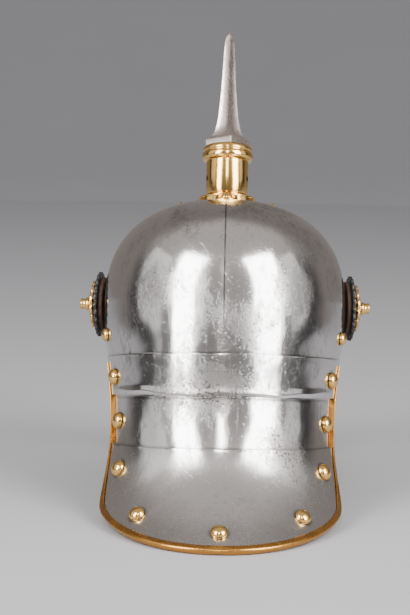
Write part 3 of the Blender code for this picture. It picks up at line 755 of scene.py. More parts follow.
def stretched(tree, vector, scale):
    made = node(tree, "VectorMath", operation="MULTIPLY")
    tree.links.new(vector, made.inputs[0])
    made.inputs[1].default_value = scale
    return made.outputs[0]


def scaled_vector(tree, given):
    """A group's Vector times its Scale."""
    made = node(tree, "VectorMath", operation="SCALE")
    for label in ("Vector", "Scale"):
        tree.links.new(given.outputs[label], made.inputs[label])
    return made.outputs[0]


def noise(tree, vector, scale, detail, roughness, distortion=0.0):
    made = node(tree, "TexNoise", Scale=scale, Detail=detail, Roughness=roughness, Distortion=distortion)
    tree.links.new(vector, made.inputs["Vector"])
    return made.outputs["Fac"]


def mottling_group():
    """Blotches that break up into specks at their edges, denser where Amount is high."""
    tree, given, result = new_group(
        "Helmet Mottling",
        (("Vector", "Vector", None), ("Amount", "Float", 0.3), ("Scale", "Float", 1.0)),
        (("Blotches", "Float", None), ("Specks", "Float", None)),
    )
    vector = scaled_vector(tree, given)
    large = noise(tree, stretched(tree, vector, (1, 1, 0.6)), 38, 5, 0.62, 0.5)
    fine = noise(tree, stretched(tree, vector, (1, 1, 0.55)), 260, 7, 0.8)
    dots = noise(tree, vector, 620, 3, 0.6)
    amount = given.outputs["Amount"]
    blend = plus(tree, times(tree, large, 0.42), times(tree, fine, 0.58))
    push = plus(tree, blend, times(tree, amount, 0.2))
    tree.links.new(between(tree, push, 0.50, 0.68), result.inputs["Blotches"])
    dotted = plus(tree, dots, times(tree, amount, 0.14))
    near = between(tree, plus(tree, large, times(tree, amount, 0.3)), 0.45, 0.75)
    specks = times(tree, between(tree, dotted, 0.64, 0.72), near, clamp=True)
    tree.links.new(specks, result.inputs["Specks"])
    return tree


def scratches_group():
    """Rubbing marks along Z and a few thin scratches across them."""
    tree, given, result = new_group(
        "Helmet Scratches",
        (("Vector", "Vector", None), ("Across", "Float", 0.5)),
        (("Height", "Float", None), ("Lines", "Float", None)),
    )
    vector = given.outputs["Vector"]
    streaks = noise(tree, stretched(tree, vector, (420, 420, 14)), 1.0, 5, 0.65)
    broad = noise(tree, stretched(tree, vector, (90, 90, 7)), 1.0, 3, 0.5)
    slant = node(tree, "VectorRotate", rotation_type="EULER_XYZ", Rotation=(0.5, 0.9, 0.3))
    tree.links.new(vector, slant.inputs["Vector"])
    thin = noise(tree, stretched(tree, slant.outputs[0], (900, 900, 22)), 1.0, 2, 0.5)
    lines = times(tree, between(tree, thin, 0.66, 0.72), given.outputs["Across"], clamp=True)
    height = plus(tree, times(tree, streaks, 0.6), times(tree, broad, 0.4))
    tree.links.new(math_node(tree, "SUBTRACT", height, lines), result.inputs["Height"])
    rubbed = between(tree, streaks, 0.58, 0.75)
    tree.links.new(math_node(tree, "MAXIMUM", lines, rubbed), result.inputs["Lines"])
    return tree


def rippling_group():
    """Slow unevenness of sheet metal that was worked by hand."""
    tree, given, result = new_group(
        "Helmet Rippling",
        (("Vector", "Vector", None), ("Scale", "Float", 1.0)),
        (("Height", "Float", None),),
    )
    vector = scaled_vector(tree, given)
    slow = noise(tree, stretched(tree, vector, (1, 1, 0.45)), 22, 2, 0.5)
    quick = noise(tree, stretched(tree, vector, (1, 1, 0.3)), 75, 2, 0.5)
    height = plus(tree, times(tree, slow, 0.75), times(tree, quick, 0.25))
    tree.links.new(height, result.inputs["Height"])
    return tree


def helmet_vector(tree):
    """Coordinates in the helmet's own frame."""
    place = tree.nodes.new("ShaderNodeTexCoord")
    turn = tree.nodes.new("ShaderNodeMapping")
    turn.inputs["Location"].default_value = HELMET_PLACE.inverted().translation
    turn.inputs["Rotation"].default_value = (REST_PITCH, 0, 0)
    tree.links.new(place.outputs["Object"], turn.inputs["Vector"])
    return turn.outputs[0]


def use_group(tree, name, build, **inputs):
    made = tree.nodes.new("ShaderNodeGroup")
    made.node_tree = bpy.data.node_groups.get(name) or build()
    for label, value in inputs.items():
        feed(tree, made.inputs[label], value)
    return made.outputs


def bump(tree, height, distance, strength, under=None):
    made = node(tree, "Bump", Distance=distance, Strength=strength)
    tree.links.new(height, made.inputs["Height"])
    if under:
        tree.links.new(under, made.inputs["Normal"])
    return made.outputs[0]


def start_material(name, metallic):
    """A new material with its tree, its shader and the helmet's coordinates."""
    material = bpy.data.materials.new(name)
    material.use_nodes = True
    tree = material.node_tree
    shader = tree.nodes["Principled BSDF"]
    shader.inputs["Metallic"].default_value = metallic
    return material, tree, shader, helmet_vector(tree)


def join(tree, shader, base, roughness, normal):
    tree.links.new(base, shader.inputs["Base Color"])
    tree.links.new(roughness, shader.inputs["Roughness"])
    tree.links.new(normal, shader.inputs["Normal"])


def attribute(tree, name):
    return node(tree, "Attribute", attribute_name=name).outputs["Fac"]


def mottled(tree, vector, amount, scale, cover, base, dull, dark, specked=0.6):
    """A colour that turns dull in blotches and dark in specks, and the two masks."""
    masks = use_group(tree, "Helmet Mottling", mottling_group, Vector=vector, Amount=amount, Scale=scale)
    blotches, specks = masks["Blotches"], masks["Specks"]
    toned = mix_colour(tree, times(tree, blotches, cover), base, dull)
    return mix_colour(tree, times(tree, specks, specked), toned, dark), blotches, specks


def steel_material():
    if material := bpy.data.materials.get("Worn steel"):
        return material
    finish = sizes("finish")
    material, tree, shader, vector = start_material("Worn steel", 1.0)
    stain = attribute(tree, "stain")
    grime_and_shade = attribute(tree, "grime_and_shade")
    mottling = use_group(tree, "Helmet Mottling", mottling_group, Vector=vector, Amount=stain, Scale=1.0)
    marks = use_group(tree, "Helmet Scratches", scratches_group, Vector=vector, Across=0.6)
    ripple = use_group(tree, "Helmet Rippling", rippling_group, Vector=vector, Scale=1.0)
    blotches, specks = mottling["Blotches"], mottling["Specks"]
    cloudy = mix_colour(tree, times(tree, blotches, 0.68), finish.steel, finish.stain)
    # Darkened with the stain colour by grime round the rivets, and by painted shadow along the plate joints.
    grimed_and_shaded = mix_colour(tree, times(tree, grime_and_shade, 0.75), cloudy, finish.stain)
    spotted = mix_colour(tree, times(tree, specks, 0.85), grimed_and_shaded, (0.035, 0.03, 0.028))
    # Painted shade: a near-black line along the crease down the back.
    crease_shaded = mix_colour(tree, times(tree, crease_shade_line(tree, vector), 0.8), spotted, (0.05, 0.045, 0.04))
    rough = plus(tree, finish.polish, times(tree, blotches, 0.20))
    rough = plus(tree, rough, times(tree, marks["Lines"], 0.10))
    rough = plus(tree, rough, times(tree, specks, 0.25))
    height = coordinates(tree, vector)[2]
    rough = plus(tree, rough, between(tree, height, -0.100, -0.084, 0.10, 0.0))
    waved = bump(tree, ripple["Height"], 0.0014, 0.5)
    scratched = bump(tree, marks["Height"], 0.00006, 0.5, waved)
    pitted = bump(tree, math_node(tree, "SUBTRACT", 1.0, specks), 0.0001, 0.5, scratched)
    join(tree, shader, crease_shaded, rough, pitted)
    return material


def crease_shade_line(tree, vector):
    """A thin line of painted shade where the crease runs down the back, fading towards the joint."""
    x, y, z = coordinates(tree, vector)
    thin = between(tree, math_node(tree, "ABSOLUTE", x, 0.0), 0.0002, 0.0009, 1.0, 0.0)
    low = times(tree, between(tree, z, -0.012, 0.012), between(tree, z, 0.094, 0.100, 1.0, 0.0))
    back = between(tree, y, -0.045, -0.035, 1.0, 0.0)
    uneven = between(tree, noise(tree, vector, 120, 4, 0.6), 0.3, 0.6, 0.55, 1.0)
    line = times(tree, times(tree, thin, low), back)
    return times(tree, line, uneven)


def brass_material(name, bright, dull, roughness, wear=0.0):
    if material := bpy.data.materials.get(name):
        return material
    material, tree, shader, vector = start_material(name, 1.0)
    spotted, blotches, _ = mottled(tree, vector, wear, 1.7, 0.5, bright, dull, (0.10, 0.05, 0.02))
    marks = use_group(tree, "Helmet Scratches", scratches_group, Vector=vector, Across=0.4)
    rough = plus(tree, roughness, times(tree, blotches, 0.14))
    rough = plus(tree, rough, times(tree, marks["Lines"], 0.06))
    join(tree, shader, spotted, rough, bump(tree, marks["Height"], 0.00004, 0.5))
    return material


def gilt_brass():
    finish = sizes("finish")
    return brass_material("Bright brass", finish.brass, finish.tarnish, 0.14)


def edging_brass():
    finish = sizes("finish")
    return brass_material("Edging brass", finish.edging, finish.tarnish, 0.26, wear=0.25)


def silver_material():
    if material := bpy.data.materials.get("Pale silver"):
        return material
    finish = sizes("finish")
    material, tree, shader, vector = start_material("Pale silver", 1.0)
    dull, dark = (0.36, 0.29, 0.25), (0.14, 0.11, 0.09)
    spotted, blotches, specks = mottled(tree, vector, 0.45, 2.2, 0.35, finish.spike, dull, dark)
    marks = use_group(tree, "Helmet Scratches", scratches_group, Vector=vector, Across=0.6)
    rough = plus(tree, 0.24, times(tree, blotches, 0.12))
    pitted = bump(tree, math_node(tree, "SUBTRACT", 1.0, specks), 0.00012, 0.6)
    join(tree, shader, spotted, rough, bump(tree, marks["Height"], 0.00008, 0.6, pitted))
    return material


def lacquer_material():
    if material := bpy.data.materials.get("Black lacquer"):
        return material
    finish = sizes("finish")
    material, tree, shader, vector = start_material("Black lacquer", 0.0)
    worn, bare = (0.05, 0.045, 0.04), (0.16, 0.13, 0.10)
    chipped, blotches, _ = mottled(tree, vector, 0.1, 1.6, 0.5, finish.lacquer, worn, bare, specked=1.0)
    grain = noise(tree, vector, 1500, 3, 0.6)
    rough = plus(tree, 0.38, times(tree, blotches, 0.2))
    join(tree, shader, chipped, rough, bump(tree, grain, 0.0001, 0.35))
    return material


def leather_material():
    if material := bpy.data.materials.get("Dark leather"):
        return material
    finish = sizes("finish")
    material, tree, shader, vector = start_material("Dark leather", 0.0)
    cells = node(tree, "TexVoronoi", feature="DISTANCE_TO_EDGE", Scale=900)
    tree.links.new(vector, cells.inputs["Vector"])
    folds = noise(tree, vector, 260, 5, 0.65)
    toned = mix_colour(tree, between(tree, folds, 0.35, 0.7), finish.leather, (0.075, 0.032, 0.015))
    rough = between(tree, folds, 0.3, 0.75, 0.55, 0.8)
    grain = bump(tree, between(tree, cells.outputs["Distance"], 0.0, 0.25), 0.00015, 0.6)
    join(tree, shader, toned, rough, bump(tree, folds, 0.0003, 0.5, grain))
    return material


# Places of the rivets


def rivet_places():
    """Name, place and radius of every rivet."""
    rivets = sizes("rivets")
    sheets = sizes("sheets")
    found = []
    for row in GUARD_RIVETS:
        for side_name, side in SIDES:
            if row["across"] == 0 and side < 0:
                continue
            across = row["across"] * side
            top, bottom = plate_span(row["plate"], across)
            z = top + (bottom - top) * row["down"]
            angle = guard_angle(across, z)
            point = on_wall(angle, z, plate_lift(row["plate"]))
            name = row["name"] + ("_" + side_name if row["across"] else "")
            found.append((name, place_on(point, wall_normal(angle, z)), rivets.radius))
    for side_name, side in SIDES:
        angle = side * (float(wall_value("edge", JOINT_Z)) + SKULL_RIVET_TURN)
        z = joint_height(JOINTS[0], 1) + SKULL_RIVET_RISE
        place = place_on(on_wall(angle, z), wall_normal(angle, z))
        found.append(("rivet_skull_" + side_name, place, rivets.skull_radius))
    for name, side in (("left", -1), ("middle", 0), ("right", 1)):
        angle = 180 + side * VISOR_RIVET_SHARE * VISOR_HALF_ANGLE
        z = rim_height(angle) + LAP * 0.56
        place = place_on(on_wall(angle, z, sheets.lap_gap + sheets.thickness), wall_normal(angle, z))
        found.append(("visor_rivet_" + name, place, rivets.visor_radius))
    return found


def rivet_spots():
    return [(np.array(place.translation), radius) for _, place, radius in rivet_places()]


def stud_places():
    """Places of the four studs on the base's arms."""
    spike = sizes("spike")
    found = []
    for arm, name in enumerate(("rear", "right", "front", "left")):
        angle = 90.0 * arm
        r = spike.arm_reach - STUD_INSET
        z = float(crown_at(angle, r))
        normal = wall_normal(angle, z)
        found.append(("base_stud_" + name, place_on(polar(angle, r, z) + normal * STUD_LIFT, normal)))
    return found


def flange_height():
    spike = sizes("spike")
    return float(crown_height(spike.flange_radius / sizes("sheets").half_width)) + spike.flange_rise


# Operators


class HELMET_OT_skull(bpy.types.Operator):
    """Builds the skull: a raised steel bowl with a crease down its back and an arched rim"""

    bl_idname = "helmet.skull"
    bl_label = "Skull"

    def execute(self, context):
        sheets = sizes("sheets")
        angle = np.arange(240) * 1.5
        start = math.asin((CROWN_HOLE_R / sheets.half_width) ** (CROWN_POWER / 2))
        swing = np.linspace(start, math.pi / 2, 64)[:, None] + 0 * angle
        crown = EQUATOR_Z + sheets.crown * np.clip(np.cos(swing), 0, 1) ** (2 / CROWN_POWER)
        down = 1 - (1 - np.linspace(0, 1, 71)[1:, None]) ** 1.15
        z = np.vstack([crown, EQUATOR_Z + (rim_height(angle) - EQUATOR_Z) * down])
        turn = np.broadcast_to(angle, z.shape)
        folded = np.clip(1 - np.minimum(turn, 360 - turn) / 12, 0, 1) ** 2
        fade = np.clip((z - JOINT_Z) / (EQUATOR_Z - JOINT_Z), 0, 1) * np.clip(crown_share(z) * 2, 0, 1)
        points = on_wall(turn, z, sheets.crease * folded * fade + dents(turn, z) * crown_share(z))
        piece = add_steel("skull", grid_mesh("skull", points, wrap_columns=True), -1)
        self.sharpen_crease(piece.data)
        return {"FINISHED"}

    def sharpen_crease(self, mesh):
        """Keeps the crease crisp where it stands out."""
        back = HELMET_PLACE.inverted()
        low = JOINT_Z + 0.35 * (EQUATOR_Z - JOINT_Z)
        on_line = [abs(v.co.x) < 1e-5 and (p := back @ v.co).y < -0.03 and p.z > low for v in mesh.vertices]
        sharp = mesh.attributes.get("sharp_edge") or mesh.attributes.new("sharp_edge", "BOOLEAN", "EDGE")
        for edge in mesh.edges:
            if on_line[edge.vertices[0]] and on_line[edge.vertices[1]]:
                sharp.data[edge.index].value = True


class HELMET_OT_neck_plates(bpy.types.Operator):
    """Builds the three lapped plates of the neck guard"""

    bl_idname = "helmet.neck_plates"
    bl_label = "Neck plates"

    def execute(self, context):
        for index, (name, rows) in enumerate((("upper", 56), ("middle", 44), ("lower", 84))):
            across = np.sin(math.pi / 2 * np.linspace(-1, 1, 181))[None, :]
            down = np.linspace(0, 1, rows)[:, None]
            if index == 0:
                down = 1 - (1 - down) ** 1.4
            top, bottom = plate_span(index, across)
            top = top + self.wave(index, across)
            bottom = bottom + (self.wave(1, across) if index == 0 else 0)
            z = top + (bottom - top) * down
            angle = guard_angle(across, z)
            lift = plate_lift(index) + dents(angle, z) + self.rolled(index, across, z - bottom, top - z)
            title = "neck_plate_" + name
            add_steel(title, grid_mesh(title, on_wall(angle, z, lift)), -1)
        return {"FINISHED"}

    def wave(self, index, across):
        """Unevenness of a visible edge, none at the sides."""
        size = JOINTS[index]["wave"]
        return size * (np.sin(9 * across + index) + 0.6 * np.sin(23 * across + 2 * index)) * (1 - across**4)

    def rolled(self, index, across, above_bottom, below_top):
        """Lift of the rolled lower edge of the upper plate, and of the lower plate's top edge."""
        fold = sizes("sheets").fold * (1 - 0.8 * across**4)
        if index == 0:
            return fold * np.exp(-(((above_bottom - 0.0038) / 0.0021) ** 2))
        if index == 2:
            return 0.3 * fold * np.exp(-((below_top / 0.0011) ** 2))
        return 0.0 * above_bottom


def visor_point(u, v):
    """A band on the skull's front, then the peak. v is 0 at the band's top, 1 at the peak's edge."""
    visor = sizes("visor")
    gap = sizes("sheets").lap_gap
    u, v = np.broadcast_arrays(np.asarray(u, float), np.asarray(v, float))
    across = -np.cos(math.pi * u)
    angle = 180 + across * VISOR_HALF_ANGLE
    rim = rim_height(angle)
    rounded = np.clip(1 - across**2, 0, 1) ** VISOR_TAPER
    reach_here = visor.end_length + (visor.length - visor.end_length) * rounded
    outward = unit(wall_normal(angle, rim) * np.array((VISOR_SPLAY, 1, 0)))
    fall = outward * math.cos(visor.slope) + np.array((0, 0, -math.sin(visor.slope)))
    band = on_wall(angle, rim + LAP * (1 - v / VISOR_BAND), gap)
    peak = on_wall(angle, rim, gap) + fall * (reach_here * (v - VISOR_BAND) / (1 - VISOR_BAND))[..., None]
    return np.where((v < VISOR_BAND)[..., None], band, peak)


class HELMET_OT_visor(bpy.types.Operator):
    """Builds the visor with its band on the front of the skull"""

    bl_idname = "helmet.visor"
    bl_label = "Visor"

    def execute(self, context):
        u = np.linspace(0, 1, 161)[None, :]
        v = np.concatenate([np.linspace(0, VISOR_BAND, 9), np.linspace(VISOR_BAND, 1, 40)[1:]])[:, None]
        add_steel("visor", grid_mesh("visor", visor_point(u, v)), 1, sharp=30)
        return {"FINISHED"}


class HELMET_OT_edging(bpy.types.Operator):
    """Folds brass edging round the neck guard and the visor"""

    bl_idname = "helmet.edging"
    bl_label = "Brass edging"

    def execute(self, context):
        sheets = sizes("sheets")
        top = float(joint_height(JOINTS[0], 1))
        edge = float(wall_value("edge", top))
        top = min(top, float(rim_height(edge - np.arange(4.0)).min()) - 0.0006)
        z = np.linspace(top, TAIL_CORNER_Z, EDGE_POINTS, endpoint=False)
        swing = np.linspace(0, math.pi / 2, EDGE_POINTS)
        rounded = np.clip(np.cos(swing), 0, 1) ** (2 / TAIL_CORNER_POWER)
        across = np.concatenate([np.ones(EDGE_POINTS), rounded])
        z = np.concatenate([z, tail_height(rounded)])
        across = np.concatenate([across, -across[-2::-1]])
        z = np.concatenate([z, z[-2::-1]])
        angle = guard_angle(across, z)
        points, normals = self.spread(wall_point(angle, z), wall_normal(angle, z), 360)
        edging = sizes("edging")
        cover = np.interp(points[:, 2], (-0.122, -0.092), (edging.cover, edging.narrow_cover))
        self.add("neck_edging", points, normals, -sheets.thickness, sheets.lap_gap + sheets.thickness, cover)

        u = np.linspace(0, 1, EDGE_POINTS)
        points = visor_point(u, np.ones(EDGE_POINTS))
        inside = np.clip(u, 0.002, 0.998)
        normals = surface_normal(visor_point, inside, np.full(EDGE_POINTS, 0.998), 0.002, 0.002)
        points, normals = self.spread(points, normals, 200)
        self.add("visor_edging", points, normals, 0, sheets.thickness, np.full(len(points), edging.cover))
        return {"FINISHED"}

    def spread(self, points, normals, count):
        """The same edge with even steps."""
        steps = np.concatenate([[0], np.cumsum(np.linalg.norm(np.diff(points, axis=0), axis=1))])
        even = np.linspace(0, steps[-1], count)
        picked = []
        for rows in (points, normals):
            picked.append(np.stack([np.interp(even, steps, column) for column in rows.T], axis=1))
        return picked[0], unit(picked[1])

    def add(self, name, points, normals, inner, outer, cover):
        edging = sizes("edging")
        along = unit(np.gradient(points, axis=0))
        inward = unit(np.cross(normals, along))
        away = ((points.mean(axis=0) - points) * inward).sum(axis=1, keepdims=True)
        inward = np.where(away < 0, -inward, inward)
        low, high = inner - edging.play, outer + edging.play
        middle, half = (low + high) / 2, (high - low) / 2 + edging.wall
        nose = edging.edge_gap + 2 * edging.wall
        bends = [(-nose * math.sin(t) ** 0.9, math.cos(t)) for t in np.linspace(0.0, math.pi, 15)]
        shape = [(1, 0, high + 0.00015), (0.94, 0, high + edging.wall * 0.72), (0.82, 0, high + edging.wall)]
        shape += [(0, a, middle + half * math.copysign(abs(c) ** 0.75, c)) for a, c in bends]
        shape += [(0.82, 0, low - edging.wall), (0.94, 0, low - edging.wall * 0.72), (1, 0, low - 0.00015)]
        shape += [(1, 0, low), (0, -edging.edge_gap, low), (0, -edging.edge_gap, high), (1, 0, high)]
        cover = cover[:, None]
        rows = [points + inward * (cover * share + a) + normals * n for share, a, n in shape]
        mesh = face_outward(grid_mesh(name, np.stack(rows, axis=1), wrap_columns=True), len(shape))
        add_piece(name, mesh, edging_brass(), "gilt_brass")


class HELMET_OT_rivets(bpy.types.Operator):
    """Adds the domed brass rivets of the neck guard, the skull and the visor"""

    bl_idname = "helmet.rivets"
    bl_label = "Rivets"

    def execute(self, context):
        sheets = sizes("sheets")
        rise = sizes("rivets").rise
        for name, place, radius in rivet_places():
            swing = np.linspace(0, math.pi / 2, 14)
            height = radius * rise
            profile = [(radius * math.sin(t), 0.0003 + height * math.cos(t) ** 0.9) for t in swing[:-1]]
            profile += [(radius, 0.0004), (radius * 0.985, 0.00008), (SHANK_R, 0.00008)]
            profile += [(SHANK_R, -2 * sheets.thickness), (0.0, -2 * sheets.thickness)]
            add_brass(name, turned_mesh(name, profile, 40), place)
        return {"FINISHED"}


class HELMET_OT_spike_base(bpy.types.Operator):
    """Builds the cross-shaped base on the crown, with a star stud on each arm"""

    bl_idname = "helmet.spike_base"
    bl_label = "Spike base"

    def execute(self, context):
        angles = np.arange(0, 360, 1.25)
        sections = np.stack([self.section(a) for a in angles])
        mesh = face_outward(grid_mesh("spike_base", sections, wrap_rows=True, wrap_columns=True))
        add_brass("spike_base", mesh, sharp=45)
        for name, place in stud_places():
            add_brass(name, self.star(name), place, sharp=50)
        return {"FINISHED"}

    def outline(self, turn):
        """Distance of the base's edge from the axis, at an angle from the middle of an arm."""
        spike = sizes("spike")
        lobe = spike.arm_reach - spike.arm_half_width
        inside = spike.arm_half_width**2 - (lobe * math.sin(turn)) ** 2
        if inside >= 0:
            return max(spike.flange_radius, lobe * math.cos(turn) + math.sqrt(inside))
        return max(spike.flange_radius, spike.arm_half_width / math.sin(abs(turn)) * BASE_WAIST)

    def section(self, angle):
        spike = sizes("spike")
        turn = math.radians((angle + 45) % 90 - 45)
        flange = spike.flange_radius
        middle = max((self.outline(turn) + flange) / 2, flange + 0.0002)
        edge = max(self.outline(turn), middle + 0.0002)
        inset = min(0.0005, (edge - middle) / 2)
        top = flange_height()
        spigot = spike.neck_radius - SPIGOT_INSET

        def seat(r, lift):
            return polar(angle, r, crown_at(angle, r) + 0.0001 + lift)

        fall = spike.flange_rise * FLANGE_RIM_SHARE
        swoop = []
        for s in np.linspace(0.08, 1, 9):
            r = spike.neck_radius + (flange - spike.neck_radius) * s
            swoop.append(polar(angle, r - EDGE_ROUND * (s > 0.99), top - fall * (1 - (1 - s) ** 2)))
        for back, drop in ((0, 0.0003), (0, 0.0009), (0.0004, 0.0013)):
            swoop.append(polar(angle, flange - back, top - fall - drop))
        return np.stack(
            [
                seat(CROWN_HOLE_R, 0),
                polar(angle, CROWN_HOLE_R, top + SPIGOT_HEIGHT),
                polar(angle, spigot, top + SPIGOT_HEIGHT),
                polar(angle, spigot, top),
                polar(angle, spike.neck_radius, top),
                *swoop,
                seat(middle, BASE_SHEET),
                seat(edge - inset, BASE_SHEET),
                seat(edge - inset * 0.3, BASE_SHEET * 0.8),
                seat(edge, BASE_SHEET * 0.4),
                seat(edge, 0),
                seat(middle, 0),
            ]
        )

    def star(self, name):
        """A domed head cut into a star of six points."""
        spike = sizes("spike")
        angles = np.arange(72) * 5.0
        star = 0.5 + 0.5 * np.cos(np.radians(angles * 6))
        rings = []
        for share in (0.02, 0.2, 0.4, 0.6, 0.78, 0.9, 1.0):
            r = spike.stud_radius * share * (1 - 0.24 * share * (1 - star))
            z = spike.stud_rise * (1 - share**2.2) * (1 - 0.25 * share * (1 - star)) + 0.0003
            rings.append(polar(angles, r, z))
        rings.append(polar(angles, spike.stud_radius * (1 - 0.24 * (1 - star)), 0.0))
        rings += [polar(angles, SHANK_R, 0.0), polar(angles, SHANK_R, -SHANK_LENGTH)]
        return face_outward(grid_mesh(name, np.stack(rings), wrap_columns=True), len(angles))


class HELMET_OT_spike_neck(bpy.types.Operator):
    """Turns the brass neck with its ring and two vent holes"""

    bl_idname = "helmet.spike_neck"
    bl_label = "Spike neck"

    def execute(self, context):
        spike = sizes("spike")
        low = flange_height() + SEAT_GAP
        top = low + spike.neck_height
        shoulder = top + spike.ring_height * 0.45
        outer = [(spike.ring_radius * w, top + spike.ring_height * h) for w, h in NECK_RING]
        foot = [(spike.neck_radius, low + 0.0007), (spike.neck_radius - 0.0003, low + 0.0001)]
        inside = [
            (spike.neck_radius - NECK_WALL, low),
            (spike.neck_radius - NECK_WALL, shoulder),
            (STEM_BORE_R, shoulder),
            (STEM_BORE_R, top + spike.ring_height),
        ]
        mesh = turned_ring_mesh("spike_neck", outer + foot + inside, 96)
        cutter = self.vent_cutter(low + spike.neck_height * 0.48)
        add_brass("spike_neck", mesh, steps=(self.drill(cutter),), sharp=40)
        bpy.data.objects.remove(cutter)
        return {"FINISHED"}

    def vent_cutter(self, z):
        spike = sizes("spike")
        bm = bmesh.new()
        for _, side in SIDES:
            angle = side * VENT_ANGLE
            place = place_on(polar(angle, spike.neck_radius, z), polar(angle, 1, 0))
            bmesh.ops.create_cone(
                bm, cap_ends=True, segments=24, radius1=VENT_R, radius2=VENT_R, depth=0.012, matrix=place
            )
        mesh = bpy.data.meshes.new("vent_cutter")
        bm.to_mesh(mesh)
        bm.free()
        mesh.transform(HELMET_PLACE)
        cutter = bpy.data.objects.new("vent_cutter", mesh)
        bpy.context.scene.collection.objects.link(cutter)
        return cutter

    def drill(self, cutter):
        def add(piece):
            cut = piece.modifiers.new("vents", "BOOLEAN")
            cut.operation = "DIFFERENCE"
            cut.object = cutter

        return add


class HELMET_OT_spike(bpy.types.Operator):
    """Builds the square spike with hollow faces on its plinth"""

    bl_idname = "helmet.spike"
    bl_label = "Spike"

    def execute(self, context):
        spike = sizes("spike")
        seat = flange_height() + SEAT_GAP + spike.neck_height + spike.ring_height + SEAT_GAP
        top = seat + spike.plinth
        half = spike.half_diagonal
        rows = [self.section(z, STEM_R, 0, 1.0) for z in (seat - STEM_LENGTH, seat)]
        for z, share in ((0, 0.985), (0.05, 1), (0.93, 1), (1, 0.985)):
            rows.append(self.section(seat + spike.plinth * z, half * share, 0, 0.0))
        rows.append(self.section(top, half * 0.962, 0, 0.0))
        heights = np.linspace(0, 1, 110) ** 1.25
        widths = smooth(SPIKE_HEIGHTS, SPIKE_WIDTHS, heights)
        hollows = smooth(SPIKE_HEIGHTS, SPIKE_HOLLOWS, heights)
        for height, width, hollow in list(zip(heights, widths, hollows))[1:]:
            tip = max(0.0, (height - 0.95) / 0.05)
            rows.append(self.section(top + height * spike.height, half * width, hollow, tip))
        mesh = face_outward(grid_mesh("spike", np.stack(rows), wrap_columns=True), 64)
        add_piece("spike", mesh, silver_material(), "pale_silver", sharp=28)
        return {"FINISHED"}

    def section(self, z, half_diagonal, hollow, roundness):
        """A square with hollow sides, 16 points to a side, growing round as roundness goes to 1."""
        turn = math.degrees(sizes("spike").turn)
        d = half_diagonal * math.cos(math.pi / 4)
        points = []
        for side in range(4):
            for t in (np.arange(16) / 16) * 2 - 1:
                across = d * t
                away = d * (1 - hollow * (1 - t * t))
                square = math.hypot(across, away)
                angle = 90 * side + math.degrees(math.atan2(across, away))
                r = square * (1 - roundness) + half_diagonal * roundness
                points.append(polar(angle - turn, min(r, half_diagonal * 0.992), z))
        return np.stack(points)


